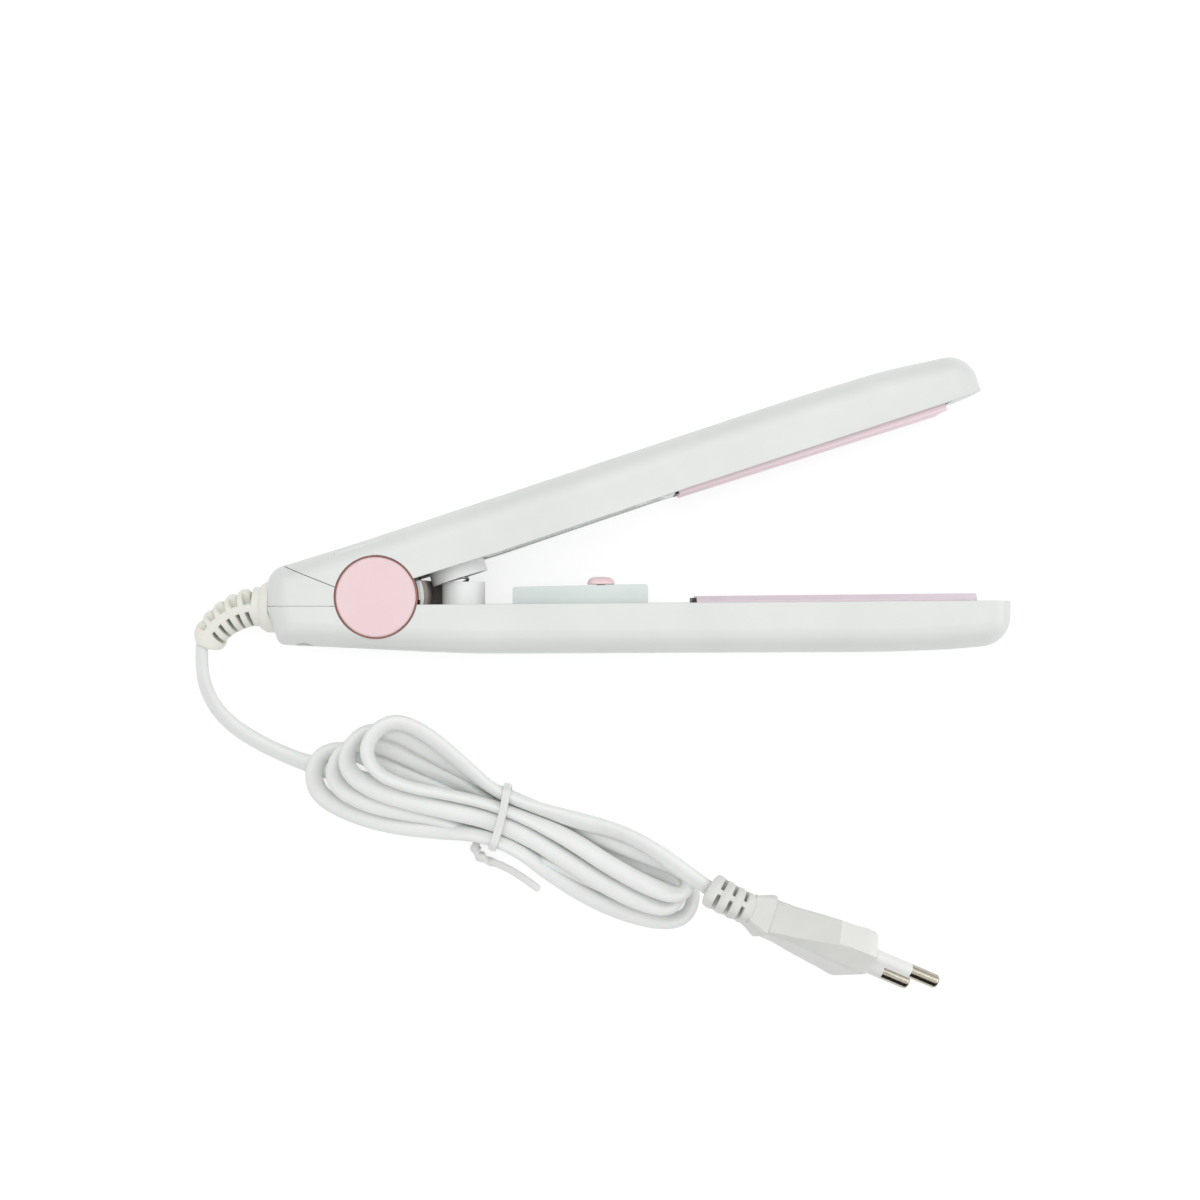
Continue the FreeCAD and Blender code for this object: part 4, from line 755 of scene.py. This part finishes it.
def started(name, settings):
    """Material with a shader that has these settings, and the piece's own coordinates."""
    material = bpy.data.materials.new(name)
    material.use_nodes = True
    material.node_tree.nodes.clear()
    shader = add(material, "BsdfPrincipled", settings)
    add(material, "OutputMaterial", {}, [("Surface", shader, "BSDF")])
    return material, shader, add(material, "TexCoord", {})


def joined(material, shader, socket, other, output):
    """Links another node's output into the shader."""
    material.node_tree.links.new(other.outputs[output], shader.inputs[socket])


def moulded(name, colour, shade, roughness, grain, depth, ior=1.54, edge=0.3, painted_shade_strength=0.35,
            softness=0.0, painted_shade_colour="#8E938C"):
    """Moulded plastic. Its colour drifts a little between two tones, and its hollows get painted
    shade, a grey multiplied in where ambient occlusion finds them. Its edges are softened and
    paler, and a grain of that size and depth in mm covers it."""
    material, shader, where = started(name, {
        "IOR": ior, "Roughness": roughness, "Subsurface Weight": softness,
        "Subsurface Scale": 0.002})
    drift = add(material, "TexNoise", {"Scale": 1 / 0.035, "Detail": 3.0, "Roughness": 0.6},
                [("Vector", where, "Object")])
    tone = add(material, "ValToRGB", {}, [("Fac", drift, "Fac")])
    first, last = tone.color_ramp.elements
    first.position, last.position = 0.35, 0.65
    first.color, last.color = linear(shade), linear(colour)
    # Painted shade: the colour is multiplied toward a grey where ambient occlusion finds hollows
    open_share = add(material, "AmbientOcclusion", {"Distance": 0.004, "samples": 6})
    painted_shade_share = add(material, "MapRange", {"To Min": painted_shade_strength, "To Max": 0.0, "From Max": 0.75},
                  [("Value", open_share, "AO")])
    deep = add(material, "MixRGB", {"blend_type": "MULTIPLY", "Color2": linear(painted_shade_colour)},
               [("Color1", tone, "Color"), ("Fac", painted_shade_share, "Result")])
    rounded = add(material, "Bevel", {"Radius": edge * MM, "samples": 6})
    facing = add(material, "NewGeometry", {})
    meeting = add(material, "VectorMath", {"operation": "DOT_PRODUCT"},
                  [(0, rounded, "Normal"), (1, facing, "Normal")])
    worn = add(material, "MapRange", {"From Min": 0.99, "From Max": 0.8, "To Max": 0.5},
               [("Value", meeting, "Value")])
    edged = add(material, "MixRGB", {"Color2": linear(colour)},
                [("Color1", deep, "Color"), ("Fac", worn, "Result")])
    joined(material, shader, "Base Color", edged, "Color")
    rub = add(material, "TexNoise", {"Scale": 1 / 0.006, "Detail": 6.0, "Roughness": 0.7},
              [("Vector", where, "Object")])
    gloss = add(material, "MapRange", {"From Min": 0.3, "From Max": 0.7,
                                       "To Min": roughness - 0.05, "To Max": roughness + 0.07},
                [("Value", rub, "Fac")])
    joined(material, shader, "Roughness", gloss, "Result")
    pits = add(material, "TexNoise", {"Scale": 1 / (grain * MM), "Detail": 2.0},
               [("Vector", where, "Object")])
    bump = add(material, "Bump", {"Strength": 0.6, "Distance": depth * MM},
               [("Height", pits, "Fac"), ("Normal", rounded, "Normal")])
    joined(material, shader, "Normal", bump, "Normal")
    return material


def painted_light_lip(material, colour, radius, fade=0.03):
    """Gives a moulded piece a paler lip inside that radius from the hinge, in mm: painted light."""
    shader = material.node_tree.nodes["Principled BSDF"]
    under = shader.inputs["Base Color"].links[0].from_socket
    where = add(material, "TexCoord", {})
    flat = add(material, "VectorMath", {"operation": "MULTIPLY", 1: (1, 1, 0)},
               [(0, where, "Object")])
    reach = add(material, "VectorMath", {"operation": "LENGTH"}, [(0, flat, 0)])
    inside = add(material, "MapRange",
                 {"From Min": (radius + fade) * MM, "From Max": radius * MM},
                 [("Value", reach, "Value")])
    lip = add(material, "MixRGB", {"Color2": linear(colour)}, [("Fac", inside, "Result")])
    material.node_tree.links.new(under, lip.inputs["Color1"])
    joined(material, shader, "Base Color", lip, "Color")


def metal(name, colour, shade, roughness, line, stretch, depth):
    """Metal with fine working marks of that width in mm, drawn out where stretch is small."""
    material, shader, where = started(name, {"Metallic": 1.0, "Roughness": roughness})
    drawn = add(material, "Mapping", {"Scale": stretch}, [("Vector", where, "Object")])
    marks = add(material, "TexNoise", {"Scale": 1 / (line * MM), "Detail": 4.0},
                [("Vector", drawn, "Vector")])
    tone = add(material, "ValToRGB", {}, [("Fac", marks, "Fac")])
    first, last = tone.color_ramp.elements
    first.position, last.position = 0.3, 0.7
    first.color, last.color = linear(shade), linear(colour)
    joined(material, shader, "Base Color", tone, "Color")
    gloss = add(material, "MapRange", {"To Min": roughness - 0.06, "To Max": roughness + 0.1},
                [("Value", marks, "Fac")])
    joined(material, shader, "Roughness", gloss, "Result")
    rounded = add(material, "Bevel", {"Radius": 0.12 * MM, "samples": 6})
    bump = add(material, "Bump", {"Strength": 0.5, "Distance": depth * MM},
               [("Height", marks, "Fac"), ("Normal", rounded, "Normal")])
    joined(material, shader, "Normal", bump, "Normal")
    return material


def ceramic_coat(name, colour, shade):
    """Sprayed ceramic coating on aluminium: pale, satin, with a fine speckle of painted glints,
    white mixed into its colour.
    """
    material, shader, where = started(name, {"Metallic": 0.15, "IOR": 1.6, "Coat Weight": 0.25,
                                             "Coat Roughness": 0.3})
    cloud = add(material, "TexNoise", {"Scale": 1 / 0.012, "Detail": 4.0},
                [("Vector", where, "Object")])
    tone = add(material, "ValToRGB", {}, [("Fac", cloud, "Fac")])
    first, last = tone.color_ramp.elements
    first.position, last.position = 0.3, 0.7
    first.color, last.color = linear(shade), linear(colour)
    # real pigment grains are finer than 0.1 mm; drawn at 0.3 mm so that they show, each with a
    # painted white glint at its middle
    grains = add(material, "TexVoronoi", {"Scale": 1 / (0.3 * MM)}, [("Vector", where, "Object")])
    painted_glint = add(material, "MapRange",
                {"From Min": 0.0, "From Max": 0.35, "To Min": 0.25, "To Max": 0.0},
                [("Value", grains, "Distance")])
    painted_glint_speckle = add(material, "MixRGB", {"Color2": linear("#FFFFFF")},
                   [("Color1", tone, "Color"), ("Fac", painted_glint, "Result")])
    joined(material, shader, "Base Color", painted_glint_speckle, "Color")
    gloss = add(material, "MapRange", {"To Min": 0.3, "To Max": 0.5}, [("Value", cloud, "Fac")])
    joined(material, shader, "Roughness", gloss, "Result")
    rounded = add(material, "Bevel", {"Radius": 0.2 * MM, "samples": 6})
    bump = add(material, "Bump", {"Strength": 0.3, "Distance": 0.02 * MM},
               [("Height", grains, "Distance"), ("Normal", rounded, "Normal")])
    joined(material, shader, "Normal", bump, "Normal")
    return material


# White ABS from a spark-eroded mould: cool white, satin, faint cloudiness, and a light grey painted
# shade in its hollows
shell_abs = moulded("abs_moulded_satin_white", "#DFE2DF", "#DADDDA", 0.36, 0.35, 0.012,
                    painted_shade_strength=0.2, painted_shade_colour="#B9BEB9")
# The small covers come from another batch, a little greener
cover_abs = moulded("abs_moulded_satin_greenish_white", "#DCE4E2", "#D5DDDB", 0.34, 0.35, 0.012)
# The upper arm's cover is painted paler still, as painted light against the shade on its
# downward-facing band, and gets no painted shade in its hollows
upper_cover_abs_painted_light = moulded("abs_moulded_satin_pale_painted_light", "#F0F4F2", "#EBEFED", 0.34, 0.35, 0.012,
                          painted_shade_strength=0.0)
# Pink ABS of the round side caps, flat and even; strong reddish-brown painted shade darkens the
# hollows round them
cap_abs = moulded("abs_moulded_satin_pink", "#EACFD1", "#E7CBCE", 0.38, 0.3, 0.01,
                  painted_shade_strength=1.0, painted_shade_colour="#8A4A48")
# Painted shadow in the gaps round the caps, a dull reddish brown
painted_shadow_ring_abs = moulded("abs_painted_shadow_reddish_brown", "#B0736B", "#A2665E", 0.5, 0.3, 0.01, painted_shade_strength=0.0)
# Polished pink ABS of the switch knob
knob_abs = moulded("abs_polished_pink", "#F9DADF", "#F6D4DA", 0.3, 0.5, 0.006, painted_shade_strength=0.0)
# Glass-filled nylon in front of the barrel, dull; its grey-brown is painted shade, and its pale lip
# near the hinge is painted light
shroud_nylon_painted_shade_and_light = moulded("nylon_grey_brown_painted_shade_and_light", "#948A83", "#877D77", 0.6, 0.25, 0.03,
                       ior=1.53, painted_shade_strength=0.0)
painted_light_lip(shroud_nylon_painted_shade_and_light, "#E2E8E5", 12.95)
# White polypropylene spring cups
cup_polypropylene = moulded("polypropylene_moulded_white", "#FDFEFD", "#F8FAF8", 0.4, 0.4, 0.01,
                            ior=1.49, painted_shade_strength=0.0)
# Dark phenolic plate holders, dull with a fine grain
holder_phenolic = moulded("phenolic_pressed_black", "#2A2927", "#201F1E", 0.5, 0.2, 0.02, ior=1.6)
# Black nylon body and slider of the switch
switch_nylon = moulded("nylon_moulded_black", "#1C1C1D", "#151516", 0.42, 0.25, 0.01, ior=1.53)
# Soft PVC of the strain relief, warmer and duller than the shell
relief_pvc = moulded("pvc_soft_moulded_warm_white", "#EEEEE6", "#E9E9E0", 0.5, 0.4, 0.012,
                     ior=1.52, softness=0.08)
# Soft PVC sheath of the flat cord, extruded smooth
cord_pvc = moulded("pvc_extruded_white", "#ECEEEC", "#E8EAE8", 0.42, 0.8, 0.006,
                   ior=1.52, edge=0.1, painted_shade_strength=0.1, softness=0.12)
# Plastic-coated twist tie
tie_pe = moulded("polyethylene_film_white", "#E9EAE7", "#DFE0DC", 0.35, 0.5, 0.01,
                 ior=1.51, edge=0.1)
# PVC of the plug, moulded over its pins
plug_pvc = moulded("pvc_moulded_grey_white", "#DDDEDA", "#D5D6D1", 0.42, 0.35, 0.012, ior=1.52)
# The plug's front part is polished in the mould and looks lighter
plug_front = moulded("pvc_moulded_polished_white", "#EAEAE7", "#E6E6E2", 0.32, 0.5, 0.006,
                     ior=1.52)
# Nylon sleeves of the pins
sleeve_nylon = moulded("nylon_moulded_white", "#ECECEA", "#E4E4E2", 0.35, 0.4, 0.008,
                       ior=1.53, edge=0.15)
# Silicone insulation of the leads inside
lead_silicone = moulded("silicone_extruded_white", "#E5E4DF", "#DAD8D2", 0.5, 0.3, 0.01,
                        ior=1.43, edge=0.1)
# Cream alumina heater in its insulating foil
heater_ceramic = moulded("alumina_sintered_cream", "#EBE4D2", "#DDD4BF", 0.55, 0.2, 0.02,
                         ior=1.76, edge=0.1)
# Ceramic coatings of the two plates
lower_coat = ceramic_coat("ceramic_coated_aluminium_mauve", "#EEE0E9", "#E7D9E2")
upper_coat = ceramic_coat("ceramic_coated_aluminium_pink", "#F9E4EA", "#F5DFE6")
# Nickel-plated brass contacts, polished
nickel = metal("brass_nickel_plated", "#BDB8AB", "#B0AA9C", 0.14, 0.9, (1, 1, 1), 0.001)
# Ground steel pin of the hinge
ground_steel = metal("steel_ground", "#C2C2C0", "#A8A8A6", 0.3, 0.15, (1, 1, 0.2), 0.006)
# Drawn spring wire, bright zinc
spring_wire = metal("steel_wire_zinc_plated", "#BFC1C2", "#9A9C9E", 0.32, 0.2, (1, 1, 1), 0.006)
# Zinc-plated screws
zinc = metal("steel_zinc_plated", "#C6C8C8", "#ABADB0", 0.35, 0.3, (1, 1, 1), 0.008)
# Plain spring-steel clips, rolled
clip_steel = metal("steel_sheet_rolled", "#B9B8B5", "#9B9A97", 0.38, 0.2, (0.1, 1, 1), 0.006)
# Turned brass bushes
bush_brass = metal("brass_turned", "#C9A65E", "#A98843", 0.35, 0.15, (1, 1, 0.2), 0.006)
# Aluminium can of the thermal fuse
fuse_aluminium = metal("aluminium_drawn", "#D2D3D4", "#B9BABC", 0.3, 0.2, (0.15, 1, 1), 0.006)

NODE_FINISHES = {
    shell_abs: ("lower_shell", "rear_cover", "upper_shell"),
    cover_abs: ("lower_inner_cover", "switch_housing"),
    upper_cover_abs_painted_light: ("upper_inner_cover",),
    cap_abs: ("side_cap_back", "side_cap_front"),
    shroud_nylon_painted_shade_and_light: ("hinge_shroud",),
    cup_polypropylene: ("lower_spring_cup", "upper_spring_cup"),
    holder_phenolic: ("lower_plate_holder", "upper_plate_holder"),
    switch_nylon: ("slide_switch", "switch_slider"),
    sleeve_nylon: ("pin_sleeves",),
    lead_silicone: ("mains_leads", "lower_heater_leads", "upper_heater_leads"),
    heater_ceramic: ("lower_heater", "upper_heater"),
    lower_coat: ("lower_plate",),
    upper_coat: ("upper_plate",),
    nickel: ("plug_pins",),
    ground_steel: ("hinge_pin",),
    zinc: ("lower_cover_screws", "rear_cover_screws", "upper_cover_screw"),
    clip_steel: ("lower_heater_clip", "upper_heater_clip"),
    bush_brass: ("hinge_bushes",),
    fuse_aluminium: ("thermal_fuse",),
    cord_pvc: ("cord_tail",),
}
for finish, nodes in NODE_FINISHES.items():
    for node in nodes:
        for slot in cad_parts[node].material_slots:
            slot.material = finish
PIECE_FINISHES = {
    painted_shadow_ring_abs: rings,
    shell_abs: tongues + caps,
    sleeve_nylon: roots,
    shroud_nylon_painted_shade_and_light: [lip],
    cord_pvc: [mains_cord],
    relief_pvc: [strain_relief],
    plug_pvc: [plug, plug_relief],
    knob_abs: [knob],
    tie_pe: [tie, tail],
    spring_wire: [spring],
}
for finish, pieces in PIECE_FINISHES.items():
    for piece in pieces:
        piece.data.materials.clear()
        piece.data.materials.append(finish)
plug.data.materials.append(plug_front)
for face in plug.data.polygons:
    own = PLUG_SEAT.transposed() @ (face.center - PLUG_FACE)
    in_front = own.x > PLUG_SPLIT[0] * MM and own.y > PLUG_SPLIT[1] * MM
    face.material_index = 1 if in_front else 0


# White table, world and lamps. Camera, gloss and glass see white; the object's faint shadow stays

TABLE_GLOW = 0.74
DIFFUSE_LEVEL = 0.72


def seen_directly(owner):
    """Node that is 1 for the rays that have to see white, in a material or the world."""
    rays = add(owner, "LightPath", {})
    either = add(owner, "Math", {"operation": "MAXIMUM"},
                 [(0, rays, "Is Camera Ray"), (1, rays, "Is Glossy Ray")])
    return add(owner, "Math", {"operation": "MAXIMUM"},
               [(0, either, 0), (1, rays, "Is Transmission Ray")])


table = bpy.data.materials.new("table_white")
table.use_nodes = True
table.node_tree.nodes.clear()
shown = seen_directly(table)
lift = add(table, "Math", {"operation": "MULTIPLY", 1: TABLE_GLOW}, [(0, shown, 0)])
glow = add(table, "Emission", {}, [("Strength", lift, 0)])
tint = add(table, "MixRGB", {"Color1": linear("#F3F4F4"), "Color2": linear("#A4A5A5")},
           [("Fac", shown, 0)])
paint = add(table, "BsdfDiffuse", {}, [("Color", tint, "Color")])
both = add(table, "AddShader", {}, [(0, glow, 0), (1, paint, 0)])
add(table, "OutputMaterial", {}, [("Surface", both, 0)])

clear_selection()
bpy.ops.mesh.primitive_plane_add(size=8, location=(0, 0, -0.05 * MM))
floor = bpy.context.object
floor.name = "table"
floor.data.materials.append(table)

world = bpy.data.worlds.new("studio")
bpy.context.scene.world = world
world.use_nodes = True
level = add(world, "MapRange", {"To Min": DIFFUSE_LEVEL, "To Max": 1.0},
            [("Value", seen_directly(world), 0)])
background = world.node_tree.nodes["Background"]
background.inputs["Color"].default_value = (1, 1, 1, 1)
world.node_tree.links.new(level.outputs[0], background.inputs["Strength"])


def area_lamp(name, size, energy, place, aim):
    """Square lamp at a place, aimed at a point."""
    lamp = bpy.data.objects.new(name, bpy.data.lights.new(name, "AREA"))
    lamp.data.shape = "SQUARE"
    lamp.data.size = size
    lamp.data.energy = energy
    lamp.location = place
    lamp.rotation_euler = (Vector(aim) - lamp.location).to_track_quat("-Z", "Y").to_euler()
    bpy.context.collection.objects.link(lamp)


area_lamp("softbox", 1.0, 5.0, (0.0, 0.35, 1.25), (0.06, -0.03, 0.0))
# A low lamp brightens the tips
area_lamp("tip_lamp", 0.5, 1.2, (0.9, -0.05, 0.45), (0.1, 0.0, 0.0))

# Dark cards that only gloss sees give the metal its dark bands
card_black = bpy.data.materials.new("card_black_matte")
card_black.use_nodes = True
card_shader = card_black.node_tree.nodes["Principled BSDF"]
card_shader.inputs["Base Color"].default_value = linear("#14140F")
card_shader.inputs["Roughness"].default_value = 0.9
CARD_LENGTH = 2.4
CARD_AWAY = 0.8
for name, side, height in (("card_front", -1, 0.95), ("card_back", 1, 0.45)):
    clear_selection()
    bpy.ops.mesh.primitive_plane_add(size=1, location=(0.05, side * CARD_AWAY, height / 2),
                                     rotation=(math.pi / 2, 0, 0))
    card = bpy.context.object
    card.name = name
    card.scale = (CARD_LENGTH, height, 1)
    card.data.materials.append(card_black)
    card.visible_camera = card.visible_diffuse = False
    card.visible_shadow = card.visible_transmission = False

bpy.context.scene.view_settings.view_transform = "Standard"
